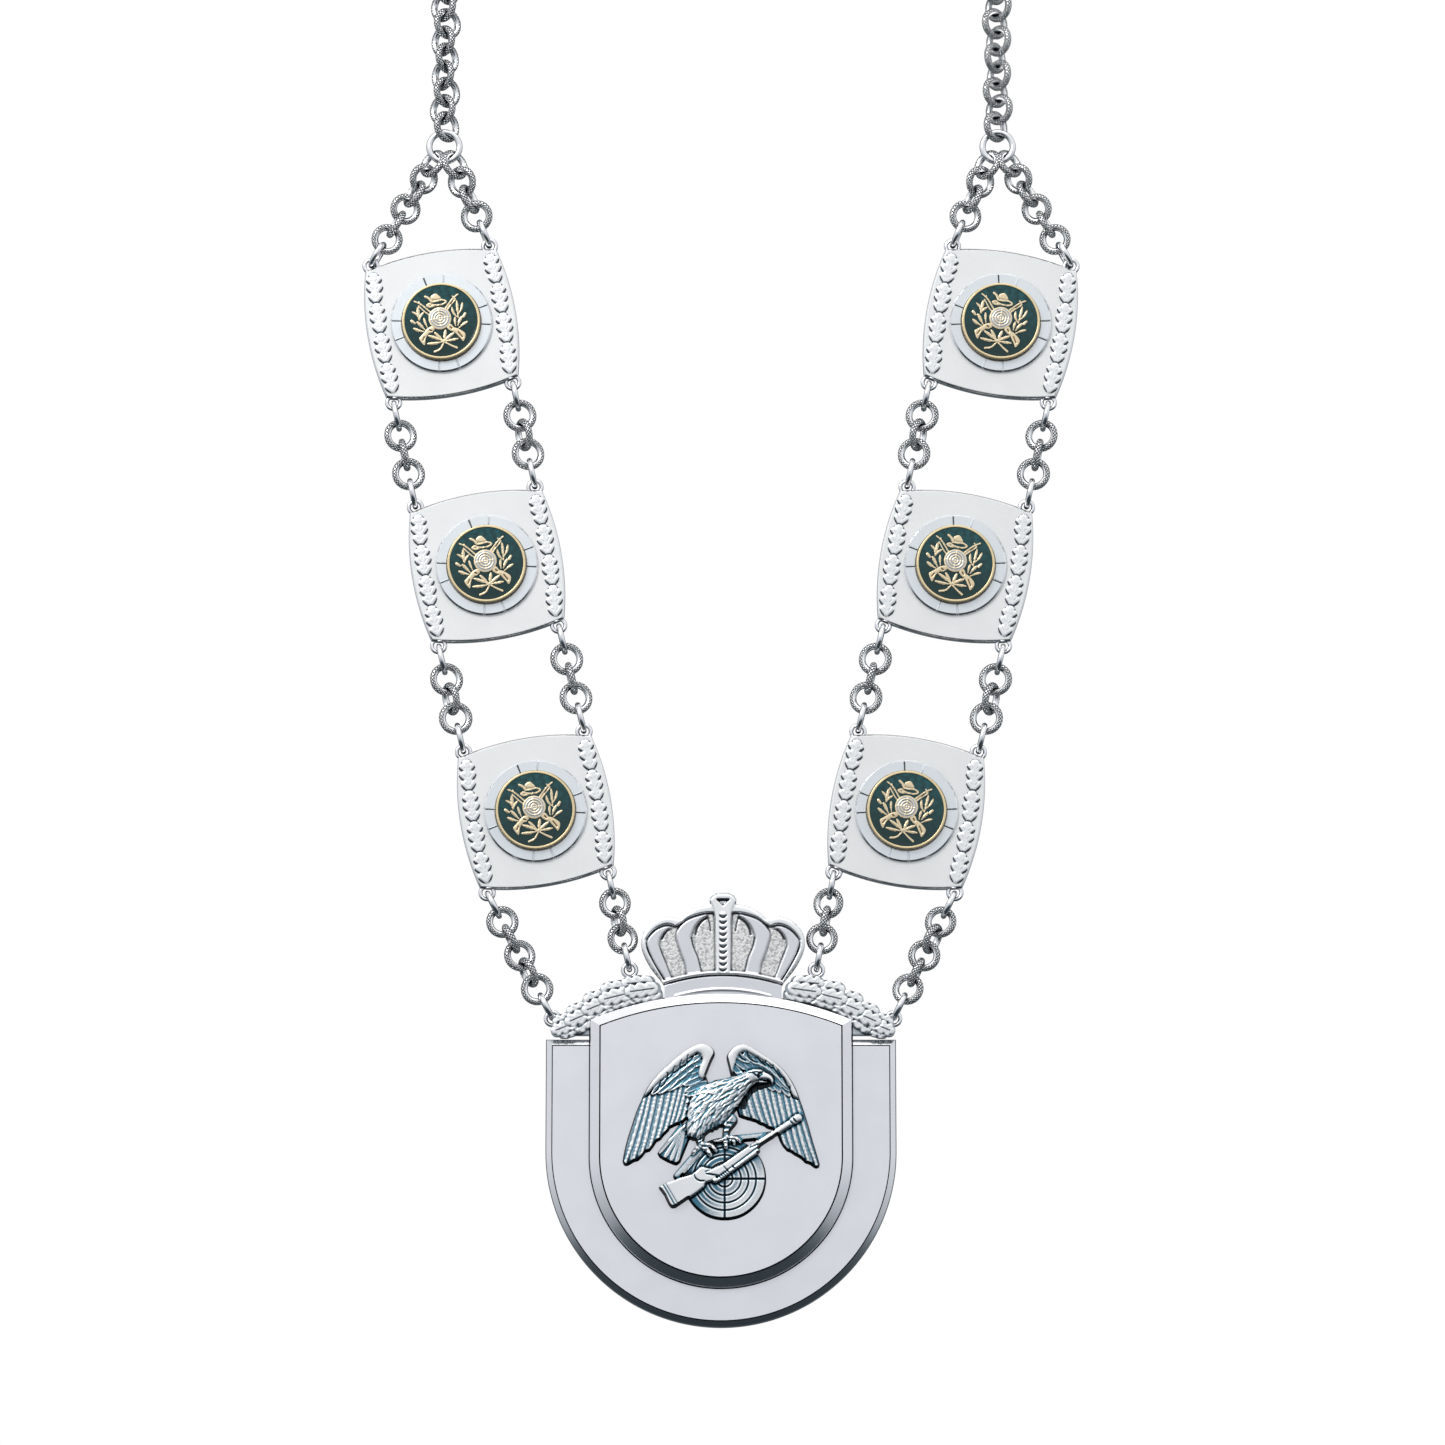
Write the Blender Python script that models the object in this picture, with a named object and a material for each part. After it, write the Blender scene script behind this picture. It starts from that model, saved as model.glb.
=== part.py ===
# Shooting guild chain: a crowned shield pendant, six enamelled plaques and link chains, in its worn form.
# Metres, +Z up, the front faces -Y. The origin is the centre of the closing ring, which lies on the nape.

import bpy
import bmesh
from math import asin, cos, pi, radians, sin, sqrt, tan, tau
from mathutils import Matrix, Vector

# Clearances
GAP = 0.0003
FUSE = 0.00014

# Chain links
LINK_WIRE = 0.0021
JUMP_WIRE = 0.0017
RING_SEGMENTS = 10
WIRE_SIDES = 5
PLAQUE_STRAND_LINKS = 5
PENDANT_INNER_LINKS = 5
PENDANT_OUTER_LINKS = 7

# Lugs, the small soldered rings that the jump rings hang from
LUG_WIRE = 0.0012
LUG_HOLE = 0.0028
LUG_SEGMENTS = 8
LUG_SIDES = 4

# Neck chain, junction rings and closing ring
FRONT_DEPTH = 0.1275
CHAIN_WIDTH = 0.0080
TUBE_STEP = 0.0165
JUNCTION_RING_OUTER = 0.0111
JUNCTION_RING_WIRE = 0.0019
JUNCTION_X = 0.0845
JUNCTION_Z = -0.2255
CLOSING_RING_OUTER = 0.0150
CLOSING_RING_WIRE = 0.0024

# Plaques
PLAQUE_WIDTH = 0.0404
PLAQUE_HEIGHT = 0.0400
PLAQUE_BULGE = 0.0026
PLAQUE_THICKNESS = 0.0030
PLAQUE_EDGE = 0.0005
PLAQUE_TILT = radians(9.8)
FIRST_DROP = 0.0557
PLAQUE_DROP = 0.0750
LUG_INSET = 0.0019
LUG_STAND = 0.0016

# Leaf garlands down both sides of a plaque
GARLAND_INSET = 0.0024
GARLAND_CLEAR = 0.0010
GARLAND_WIDTH = 0.0048
GARLAND_LEAVES = 4
GARLAND_RELIEF = 0.0006

# Ring band and enamel medallion of a plaque
BAND_OUTER = 0.0154
BAND_HEIGHT = 0.0008
MEDALLION_RADIUS = 0.0118
MEDALLION_HEIGHT = 0.0028
MEDALLION_RIM = 0.0010
MEDALLION_FLOOR = 0.0010
ENAMEL_RECESS = 0.0003
ROUND_SIDES = 20

# Pendant: the two shields
PENDANT_DROP = 0.1018
SHIELD_HALF_WIDTH = 0.0520
SHIELD_SHOULDER = 0.0334
SHIELD_THICKNESS = 0.0030
SHIELD_CHAMFER = 0.0021
SHIELD_CHAMFER_DEPTH = 0.0012
FIELD_HALF_WIDTH = 0.0388
FIELD_DROP = 0.0016
FIELD_SHOULDER = 0.0390
FIELD_ARCH = 0.0078
FIELD_THICKNESS = 0.0028
FIELD_BEVEL = 0.0032
FIELD_BEVEL_DEPTH = 0.0016
SHIELD_SEGMENTS = 18

# The crown and the wreath are soldered on a little to the right of the middle
TOP_SHIFT = 0.0006

# Pendant: crown
CROWN_BAND_Z = 0.0464
CROWN_BAND_HALF = 0.0175
CROWN_BAND_HEIGHT = 0.0066
CROWN_HEIGHT = 0.0306
CROWN_HALF_WIDTH = 0.0248
CROWN_PLATE = 0.0030
CROWN_RELIEF = 0.0013
CROWN_BRIM = 0.0009
CROWN_BAR = 0.0038

# Pendant: oak wreath
WREATH_PLATE = 0.0027
LEAF_RELIEF = 0.0010
INNER_LUG_X = 0.0278
INNER_LUG_Z = 0.0541
OUTER_LUG_X = 0.0507
OUTER_LUG_Z = 0.0396

# Pendant: eagle, target and rifle relief on the field
TARGET_RADIUS = 0.0122
TARGET_X = 0.0011
TARGET_DROP = 0.0080
TARGET_HEIGHT = 0.0008
TARGET_SIDES = 24
EAGLE_HALF_SPAN = 0.0290
EAGLE_HEIGHT = 0.0370
EAGLE_TOP = 0.0321
WING_RELIEF = 0.0014
BODY_RELIEF = 0.0024
RIFLE_HALF_LENGTH = 0.0224
RIFLE_HEIGHT = 0.0022
RIFLE_ANGLE = radians(30.8)

# Plaques, top to bottom: how far each stands from the middle, as a share of the junction ring's distance
PLAQUE_ROWS = [
    {"name": "top", "x": 1.004},
    {"name": "middle", "x": 0.835},
    {"name": "bottom", "x": 0.656},
]

# Route of the right neck chain above its junction ring, as shares of the ring's distance from the middle,
# of the depth from the nape to the front, and of the ring's depth under the nape
NECK_ROUTE = [
    {"x": 1.000, "back": 0.000, "down": 0.865},
    {"x": 1.000, "back": 0.002, "down": 0.710},
    {"x": 0.996, "back": 0.051, "down": 0.555},
    {"x": 0.970, "back": 0.204, "down": 0.400},
    {"x": 0.893, "back": 0.439, "down": 0.257},
    {"x": 0.734, "back": 0.675, "down": 0.146},
    {"x": 0.515, "back": 0.855, "down": 0.062},
    {"x": 0.260, "back": 0.961, "down": 0.013},
]

# Right half of the crown's outline from the band up to the middle, as shares of half width and height
CROWN_OUTLINE = [
    {"x": 0.725, "z": 0.12}, {"x": 0.82, "z": 0.22}, {"x": 0.91, "z": 0.36}, {"x": 0.98, "z": 0.50},
    {"x": 0.97, "z": 0.60}, {"x": 0.89, "z": 0.68}, {"x": 0.80, "z": 0.74}, {"x": 0.69, "z": 0.77},
    {"x": 0.575, "z": 0.755}, {"x": 0.466, "z": 0.815}, {"x": 0.336, "z": 0.866}, {"x": 0.204, "z": 0.889},
    {"x": 0.194, "z": 0.94}, {"x": 0.13, "z": 0.987},
]

# Raised strips of the right half of the crown, with shares as above: the edge, the inner and the outer arch
CROWN_STRIPS = [
    {"width": 0.0020, "rise": 0.0002, "points": [
        {"x": 0.70, "z": 0.16}, {"x": 0.79, "z": 0.24}, {"x": 0.88, "z": 0.38}, {"x": 0.945, "z": 0.51},
        {"x": 0.92, "z": 0.60}, {"x": 0.85, "z": 0.66}, {"x": 0.77, "z": 0.705}, {"x": 0.69, "z": 0.73},
        {"x": 0.575, "z": 0.72}, {"x": 0.45, "z": 0.78}, {"x": 0.32, "z": 0.83}, {"x": 0.15, "z": 0.855}]},
    {"width": 0.0044, "rise": 0.0000, "points": [
        {"x": 0.33, "z": 0.21}, {"x": 0.44, "z": 0.46}, {"x": 0.475, "z": 0.62}, {"x": 0.40, "z": 0.74}]},
    {"width": 0.0036, "rise": 0.0001, "points": [
        {"x": 0.66, "z": 0.19}, {"x": 0.79, "z": 0.39}, {"x": 0.83, "z": 0.53}, {"x": 0.77, "z": 0.64}]},
]

# Outline of the right wreath branch: x as a share of the outer lug's, z of the shoulder-to-lug height
WREATH_OUTLINE = [
    {"x": 0.375, "z": 0.02},
    {"x": 1.015, "z": 0.02},
    {"x": 1.03, "z": 0.21},
    {"x": 0.97, "z": 0.24},
    {"x": 0.93, "z": 0.38},
    {"x": 0.88, "z": 0.56},
    {"x": 0.81, "z": 0.73},
    {"x": 0.73, "z": 0.85},
    {"x": 0.63, "z": 0.94},
    {"x": 0.50, "z": 1.03},
    {"x": 0.43, "z": 1.00},
    {"x": 0.375, "z": 0.74},
]

# Raised oak leaves of the right branch, with shares as above, and the way each leaf points
WREATH_LEAVES = [
    {"x": 0.92, "z": 0.10, "turn": 150},
    {"x": 0.83, "z": 0.24, "turn": 120},
    {"x": 0.76, "z": 0.44, "turn": 155},
    {"x": 0.68, "z": 0.58, "turn": 125},
    {"x": 0.59, "z": 0.70, "turn": 165},
    {"x": 0.49, "z": 0.84, "turn": 150},
]

# Eagle outlines on the field, as shares of half span sideways and of height up from the feet
LEFT_WING = [
    {"x": -0.27, "z": 1.00}, {"x": -0.50, "z": 0.93}, {"x": -0.71, "z": 0.77}, {"x": -0.87, "z": 0.54},
    {"x": -0.97, "z": 0.25}, {"x": -1.00, "z": 0.03}, {"x": -0.80, "z": 0.10}, {"x": -0.58, "z": 0.27},
    {"x": -0.36, "z": 0.38}, {"x": -0.15, "z": 0.66}, {"x": -0.13, "z": 0.92},
]
RIGHT_WING = [
    {"x": 0.20, "z": 1.00}, {"x": 0.06, "z": 0.92}, {"x": 0.08, "z": 0.66}, {"x": 0.16, "z": 0.46},
    {"x": 0.42, "z": 0.36}, {"x": 0.58, "z": 0.20}, {"x": 0.92, "z": 0.02}, {"x": 1.00, "z": 0.03},
    {"x": 0.88, "z": 0.38}, {"x": 0.70, "z": 0.74}, {"x": 0.44, "z": 0.95},
]
TAIL = [
    {"x": -0.34, "z": 0.34}, {"x": -0.66, "z": 0.12}, {"x": -0.46, "z": 0.02}, {"x": -0.22, "z": 0.20},
]
BODY_SECTIONS = [
    {"x": -0.30, "z": 0.14, "radius": 0.06},
    {"x": -0.28, "z": 0.26, "radius": 0.15},
    {"x": -0.20, "z": 0.45, "radius": 0.23},
    {"x": -0.04, "z": 0.60, "radius": 0.23},
    {"x": 0.12, "z": 0.69, "radius": 0.16},
    {"x": 0.28, "z": 0.74, "radius": 0.12},
    {"x": 0.42, "z": 0.73, "radius": 0.07},
    {"x": 0.50, "z": 0.67, "radius": 0.03},
]

# Rifle outline along its length, as shares of half length: butt first, with the half depth of the gun
RIFLE_SECTIONS = [
    {"along": -1.00, "low": -0.080, "high": 0.075},
    {"along": -0.62, "low": -0.075, "high": 0.035},
    {"along": -0.45, "low": -0.020, "high": 0.030},
    {"along": -0.25, "low": -0.045, "high": 0.035},
    {"along": 0.22, "low": -0.022, "high": 0.035},
    {"along": 1.00, "low": 0.000, "high": 0.035},
]

# Worked out from the sizes above
LUG_CENTRE_RADIUS = (LUG_HOLE + LUG_WIRE) / 2
JUMP_REACH = LUG_CENTRE_RADIUS - LUG_WIRE / 2 - GAP - JUMP_WIRE / 2
JUNCTION_REACH = JUNCTION_RING_OUTER / 2 + GAP
FIELD_BACK = SHIELD_THICKNESS / 2 + GAP
FIELD_FACE = FIELD_BACK + FIELD_THICKNESS
PENDANT_Z = JUNCTION_Z - FIRST_DROP - (len(PLAQUE_ROWS) - 1) * PLAQUE_DROP - PENDANT_DROP

# Colours: name, colour, metallic, roughness
FINISHES = {
    "silver": ((0.80, 0.81, 0.83, 1.0), 1.0, 0.28),
    "matt_silver": ((0.78, 0.79, 0.80, 1.0), 1.0, 0.45),
    "old_silver": ((0.42, 0.50, 0.55, 1.0), 1.0, 0.40),
    "gilt": ((0.83, 0.66, 0.36, 1.0), 1.0, 0.30),
    "green_enamel": ((0.01, 0.11, 0.10, 1.0), 0.0, 0.15),
}


def finish(name):
    """The named finish as a Principled material, made once."""
    made = bpy.data.materials.get(name)
    if made:
        return made
    colour, metallic, roughness = FINISHES[name]
    made = bpy.data.materials.new(name)
    made.use_nodes = True
    shader = made.node_tree.nodes["Principled BSDF"]
    shader.inputs["Base Color"].default_value = colour
    shader.inputs["Metallic"].default_value = metallic
    shader.inputs["Roughness"].default_value = roughness
    return made


def place(name, vertices, faces, finish_name):
    """An object from vertices and faces, with its normals facing out."""
    mesh = bpy.data.meshes.new(name)
    mesh.from_pydata([tuple(v) for v in vertices], [], faces)
    shaped = bmesh.new()
    shaped.from_mesh(mesh)
    bmesh.ops.recalc_face_normals(shaped, faces=shaped.faces)
    shaped.to_mesh(mesh)
    shaped.free()
    mesh.materials.append(finish(finish_name))
    made = bpy.data.objects.new(name, mesh)
    bpy.context.scene.collection.objects.link(made)
    return made


def loft(name, rings, finish_name, closed=False):
    """A closed solid through rings of equally many points, with flat ends, or a hoop where it is closed."""
    count = len(rings[0])
    vertices = [point for ring in rings for point in ring]
    faces = []
    last = len(rings) if closed else len(rings) - 1
    for i in range(last):
        here, there = i * count, ((i + 1) % len(rings)) * count
        for j in range(count):
            k = (j + 1) % count
            faces.append((here + j, here + k, there + k, there + j))
    if not closed:
        faces.append(tuple(range(count)))
        faces.append(tuple(range(len(vertices) - count, len(vertices))))
    return place(name, vertices, faces, finish_name)


def fuse(base, tools):
    """Joins the tools to the base by Boolean union, and removes them."""
    for tool in tools:
        joined = base.modifiers.new("joined", "BOOLEAN")
        joined.operation = "UNION"
        joined.object = tool
        shape = bpy.data.meshes.new_from_object(base.evaluated_get(bpy.context.evaluated_depsgraph_get()))
        base.modifiers.clear()
        base.data = shape
        bpy.data.objects.remove(tool)
    return base


def offset(outline, distance):
    """The outline moved inwards by a distance, corner by corner. The outline runs anticlockwise."""
    moved = []
    for i, here in enumerate(outline):
        before = (here - outline[i - 1]).normalized()
        after = (outline[(i + 1) % len(outline)] - here).normalized()
        inward = Vector((-before.y - after.y, before.x + after.x)).normalized()
        spread = max(0.4, inward.dot(Vector((-after.y, after.x))))
        moved.append(here + inward * distance / spread)
    return moved


def plate(name, outline, back, front, finish_name, bevel=0.0, bevel_depth=0.0):
    """A flat plate with an outline in its own XY plane, from back to front, with a bevel round its front."""
    levels = [(outline, back), (outline, front - bevel_depth)]
    if bevel:
        levels.append((offset(outline, bevel), front))
    rings = [[Vector((p.x, p.y, height)) for p in points] for points, height in levels]
    return loft(name, rings, finish_name)


def hoop(name, centre_radius, wire, segments, finish_name, sides=WIRE_SIDES):
    """A round ring of wire in its own XY plane, with a corner of the wire on its inner side."""
    rings = []
    for i in range(segments):
        turn = tau * i / segments
        ring = []
        for j in range(sides):
            lean = pi + tau * j / sides
            reach = centre_radius + wire / 2 * cos(lean)
            ring.append(Vector((reach * cos(turn), reach * sin(turn), wire / 2 * sin(lean))))
        rings.append(ring)
    return loft(name, rings, finish_name, closed=True)


def arc(start, end, sagitta, segments):
    """Points from start up to but not including end, on an arc that bulges to the right of the way along."""
    chord = end - start
    outward = Vector((chord.y, -chord.x)).normalized()
    half = chord.length / 2
    radius = (half * half + sagitta * sagitta) / (2 * sagitta)
    points = []
    for i in range(segments):
        share = i / segments
        along = (share - 0.5) * 2 * half
        rise = sqrt(radius * radius - along * along) - radius + sagitta
        points.append(start + chord * share + outward * rise)
    return points


def stand(thing, x, z, turn=0.0):
    """Stands a piece that was drawn in XY upright in the front plane, turned anticlockwise for the viewer."""
    thing.location = (x, -FRONT_DEPTH, z)
    thing.rotation_euler = (pi / 2, -turn, 0)
    return thing


def front_point(x, z, turn, local):
    """Where a point of an upright piece lies in the front plane, as sideways and height."""
    across = local.x * cos(turn) - local.y * sin(turn)
    up = local.x * sin(turn) + local.y * cos(turn)
    return Vector((x + across, z + up))


# Lugs and strands of links

def lug(centre, turn):
    """A lug ring in a plate's own plane, with a corner towards its strand."""
    made = hoop("lug", LUG_CENTRE_RADIUS, LUG_WIRE, LUG_SEGMENTS, "silver", LUG_SIDES)
    made.matrix_world = Matrix.Translation((centre.x, centre.y, 0)) @ Matrix.Rotation(turn, 4, "Z")
    bpy.context.view_layer.update()
    return made


def strand(name, start, end, count):
    """A row of interlocked links between two lugs, fused where they touch: a plain jump ring at each end
    and knurled links between them, each turned a quarter against the next."""
    way = end - start
    wires = [JUMP_WIRE] + [LINK_WIRE] * (count - 2) + [JUMP_WIRE]
    touching = sum((wires[i] + wires[i + 1]) / 2 - FUSE for i in range(count - 1))
    radius = (way.length - 2 * JUMP_REACH + touching) / (2 * count)
    lengthwise = way.normalized()
    links = []
    along = JUMP_REACH + radius
    for i, wire in enumerate(wires):
        link = hoop(name if i == 0 else "link", radius, wire, RING_SEGMENTS, "silver")
        centre = start + lengthwise * along
        axis_x = Vector((lengthwise.x, 0, lengthwise.y))
        across = Vector((0, 1, 0)) if i % 2 == 0 else Vector((-lengthwise.y, 0, lengthwise.x))
        normal = axis_x.cross(across)
        turned = Matrix((axis_x, across, normal)).transposed().to_4x4()
        link.matrix_world = Matrix.Translation((centre.x, -FRONT_DEPTH, centre.y)) @ turned
        links.append(link)
        if i < count - 1:
            along += 2 * radius - (wire + wires[i + 1]) / 2 + FUSE
    bpy.context.view_layer.update()
    return fuse(links[0], links[1:])


# Plaques

def plaque_outline():
    """The cushion shape of a plaque: four bulged sides, anticlockwise from the lower left corner."""
    half_x, half_y = PLAQUE_WIDTH / 2, PLAQUE_HEIGHT / 2
    signs = [(-1, -1), (1, -1), (1, 1), (-1, 1)]
    corners = [Vector((across * half_x, up * half_y)) for across, up in signs]
    points = []
    for i in range(4):
        points += arc(corners[i], corners[(i + 1) % 4], PLAQUE_BULGE, 4)
    return points


def lug_places():
    """Lug centres of a plaque: upper left, upper right, lower left and lower right."""
    x, y = PLAQUE_WIDTH / 2 - LUG_INSET, PLAQUE_HEIGHT / 2 + LUG_STAND
    return [Vector((-x, y)), Vector((x, y)), Vector((-x, -y)), Vector((x, -y))]


def garland(side):
    """A low raised strip of stacked leaves down one side of a plaque, bowed round the medallion's ring."""
    tips = []
    for i in range(GARLAND_LEAVES):
        tips += [(i + 0.12, 0.32), (i + 0.50, 0.50)]
    tips.append((GARLAND_LEAVES - 0.08, 0.32))
    end_x = PLAQUE_WIDTH / 2 - GARLAND_INSET
    middle_x = BAND_OUTER + GARLAND_CLEAR + GARLAND_WIDTH / 2
    inner, outer = [], []
    for step, width in tips:
        y = PLAQUE_HEIGHT * (0.5 - step / GARLAND_LEAVES)
        at_end = (2 * y / PLAQUE_HEIGHT) ** 2
        x = middle_x + (end_x - middle_x) * at_end
        inner.append(Vector((side * (x - width * GARLAND_WIDTH), y)))
        outer.append(Vector((side * (x + width * GARLAND_WIDTH), y)))
    outline = inner + outer[::-1] if side > 0 else outer + inner[::-1]
    face = PLAQUE_THICKNESS / 2
    return plate("garland", outline, face - 2 * GAP, face + GARLAND_RELIEF, "matt_silver")


def plaque(name, x, z, turn):
    """The base plate of a plaque, with its garlands and lugs in one solid."""
    face = PLAQUE_THICKNESS / 2
    base = plate(name, plaque_outline(), -face, face, "matt_silver", PLAQUE_EDGE, PLAQUE_EDGE)
    extras = [garland(-1), garland(1)]
    for place_of in lug_places():
        extras.append(lug(place_of, pi / 2 if place_of.y > 0 else -pi / 2))
    return stand(fuse(base, extras), x, z, turn)


def band(name, x, z, turn):
    """The flat ring round the medallion."""
    low = PLAQUE_THICKNESS / 2 + GAP
    inner, outer = MEDALLION_RADIUS + GAP, BAND_OUTER
    rings = []
    for i in range(ROUND_SIDES):
        out = Vector((cos(tau * i / ROUND_SIDES), sin(tau * i / ROUND_SIDES), 0))
        rings.append([out * radius + Vector((0, 0, height)) for radius, height in (
            (inner, low), (inner, low + BAND_HEIGHT), (outer, low + BAND_HEIGHT), (outer, low))])
    return stand(loft(name, rings, "silver", closed=True), x, z, turn)


def turned(name, profile, sides, finish_name):
    """A closed round solid from a profile of radius and height, with a flat end at both ends of the profile."""
    turns = [Vector((cos(tau * i / sides), sin(tau * i / sides), 0)) for i in range(sides)]
    rings = [[out * radius + Vector((0, 0, height)) for out in turns] for radius, height in profile]
    return loft(name, rings, finish_name)


def medallion(name, x, z, turn):
    """The gilded cup of the medallion, with its rim round a sunk floor."""
    back = PLAQUE_THICKNESS / 2 + GAP
    inner = MEDALLION_RADIUS - MEDALLION_RIM
    profile = [(MEDALLION_RADIUS, back), (MEDALLION_RADIUS, back + MEDALLION_HEIGHT),
               (inner, back + MEDALLION_HEIGHT), (inner, back + MEDALLION_FLOOR)]
    return stand(turned(name, profile, ROUND_SIDES, "gilt"), x, z, turn)


def enamel(name, x, z, turn):
    """The enamel field inside the medallion's rim."""
    low = PLAQUE_THICKNESS / 2 + 2 * GAP + MEDALLION_FLOOR
    high = PLAQUE_THICKNESS / 2 + GAP + MEDALLION_HEIGHT - ENAMEL_RECESS
    radius = MEDALLION_RADIUS - MEDALLION_RIM - GAP
    return stand(turned(name, [(radius, low), (radius, high)], ROUND_SIDES, "green_enamel"), x, z, turn)


# Pendant, drawn in XY about the centre of the outer shield's round end

def shield_outline(half_width, shoulder, arch, drop):
    """A shield with a half-round foot and upright sides, and a top edge that is straight or arched."""
    points = []
    for i in range(SHIELD_SEGMENTS + 1):
        angle = pi + pi * i / SHIELD_SEGMENTS
        points.append(Vector((half_width * cos(angle), half_width * sin(angle) - drop)))
    right, left = Vector((half_width, shoulder)), Vector((-half_width, shoulder))
    if arch:
        return points + arc(right, left, arch, 8) + [left]
    return points + [right, left]


def outer_shield():
    outline = shield_outline(SHIELD_HALF_WIDTH, SHIELD_SHOULDER, 0, 0)
    half = SHIELD_THICKNESS / 2
    made = plate("pendant_outer_shield", outline, -half, half, "silver", SHIELD_CHAMFER, SHIELD_CHAMFER_DEPTH)
    return stand(made, 0, PENDANT_Z)


def inner_shield():
    outline = shield_outline(FIELD_HALF_WIDTH, FIELD_SHOULDER, FIELD_ARCH, FIELD_DROP)
    made = plate("pendant_inner_shield", outline, FIELD_BACK, FIELD_FACE, "silver",
                 FIELD_BEVEL, FIELD_BEVEL_DEPTH)
    return stand(made, 0, PENDANT_Z)


def strip(points, width, low, high, ends=None):
    """A raised strip along points in the XY plane, of even width or with a share of it at each point."""
    rings = []
    for i, here in enumerate(points):
        way = (points[min(i + 1, len(points) - 1)] - points[max(i - 1, 0)]).normalized()
        across = Vector((-way.y, way.x)) * width / 2 * (ends[i] if ends else 1)
        left, right = here + across, here - across
        rings.append([Vector((left.x, left.y, low)), Vector((left.x, left.y, high)),
                      Vector((right.x, right.y, high)), Vector((right.x, right.y, low))])
    return loft("strip", rings, "silver")


def crown_point(row, side=1):
    return Vector((side * row["x"] * CROWN_HALF_WIDTH, CROWN_BAND_Z + row["z"] * CROWN_HEIGHT))


def crown():
    """The crown: a lobed plate with a plain band, a middle bar, and raised edges and arches on each side."""
    half = CROWN_PLATE / 2
    right = [Vector((CROWN_BAND_HALF, SHIELD_SHOULDER + GAP))] + [crown_point(row) for row in CROWN_OUTLINE]
    left = [Vector((-p.x, p.y)) for p in right[::-1]]
    base = plate("pendant_crown", right + left, -half, half, "silver")
    low, high = half - 2 * GAP, half + CROWN_RELIEF
    extras = []
    brim = [Vector((share * CROWN_BAND_HALF, CROWN_BAND_Z + CROWN_BAND_HEIGHT * (1 - 0.38 * share * share)))
            for share in (-1, -0.5, 0, 0.5, 1)]
    extras.append(strip(brim, CROWN_BRIM, low, high + GAP))
    bar = [Vector((0, CROWN_BAND_Z + share * CROWN_HEIGHT)) for share in (0.21, 0.80, 0.97)]
    extras.append(strip(bar, CROWN_BAR, low, high + 2 * GAP, ends=(1.0, 1.25, 2.0)))
    for side in (-1, 1):
        for row in CROWN_STRIPS:
            points = [crown_point(spot, side) for spot in row["points"]]
            extras.append(strip(points, row["width"], low, high + row["rise"] * (1.0 if side > 0 else 1.2)))
    made = fuse(base, extras)
    return stand(made, TOP_SHIFT, PENDANT_Z)


def leaf(centre, turn, size, low, high):
    """A raised leaf with a ridge along its middle, from low at its edge to high on the ridge."""
    ends = [(-0.5, 0.0), (-0.15, -0.26), (0.25, -0.22), (0.5, 0.0), (0.25, 0.22), (-0.15, 0.26)]
    rim = [Vector((along * size, across * size, 0)) for along, across in ends]
    ridge = [Vector((-0.30 * size, 0, 0)), Vector((0.32 * size, 0, 0))]
    vertices = [v + Vector((0, 0, low)) for v in rim] + [v + Vector((0, 0, (low + high) / 2)) for v in rim]
    vertices += [v + Vector((0, 0, high)) for v in ridge]
    faces = [(0, 1, 2, 3, 4, 5)] + [(i, (i + 1) % 6, 6 + (i + 1) % 6, 6 + i) for i in range(6)]
    faces += [(6, 7, 12), (7, 8, 13, 12), (8, 9, 13), (9, 10, 13), (10, 11, 12, 13), (11, 6, 12)]
    made = place("leaf", vertices, faces, "matt_silver")
    made.matrix_world = Matrix.Translation((centre.x, centre.y, 0)) @ Matrix.Rotation(turn, 4, "Z")
    bpy.context.view_layer.update()
    return made


def wreath(name, side):
    """One oak branch of the wreath, with its leaves and its two lugs in one solid."""
    foot = SHIELD_SHOULDER + GAP
    rise = INNER_LUG_Z - LUG_CENTRE_RADIUS - foot
    outline = [Vector((side * row["x"] * OUTER_LUG_X, foot + row["z"] * rise)) for row in WREATH_OUTLINE]
    if side < 0:
        outline = outline[::-1]
    half = WREATH_PLATE / 2
    base = plate(name, outline, -half, half, "matt_silver")
    extras = []
    for row in WREATH_LEAVES:
        centre = Vector((side * row["x"] * OUTER_LUG_X, foot + row["z"] * rise))
        turn = radians(row["turn"]) if side > 0 else pi - radians(row["turn"])
        extras.append(leaf(centre, turn, 0.17 * OUTER_LUG_X, half - 2 * GAP, half + LEAF_RELIEF))
    inner, outer = pendant_lugs(side)
    extras.append(lug(inner, pi / 2))
    extras.append(lug(outer, pi / 2))
    return stand(fuse(base, extras), TOP_SHIFT, PENDANT_Z)


def pendant_lugs(side):
    """Centres of the inner and the outer lug of one side, about the middle of the crown and the wreath."""
    return Vector((side * INNER_LUG_X, INNER_LUG_Z)), Vector((side * OUTER_LUG_X, OUTER_LUG_Z))


def eagle_point(row):
    return Vector((row["x"] * EAGLE_HALF_SPAN, EAGLE_TOP - EAGLE_HEIGHT + row["z"] * EAGLE_HEIGHT))


def counter_clockwise(outline):
    area = sum(outline[i - 1].x * p.y - p.x * outline[i - 1].y for i, p in enumerate(outline))
    return outline if area > 0 else outline[::-1]


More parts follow.
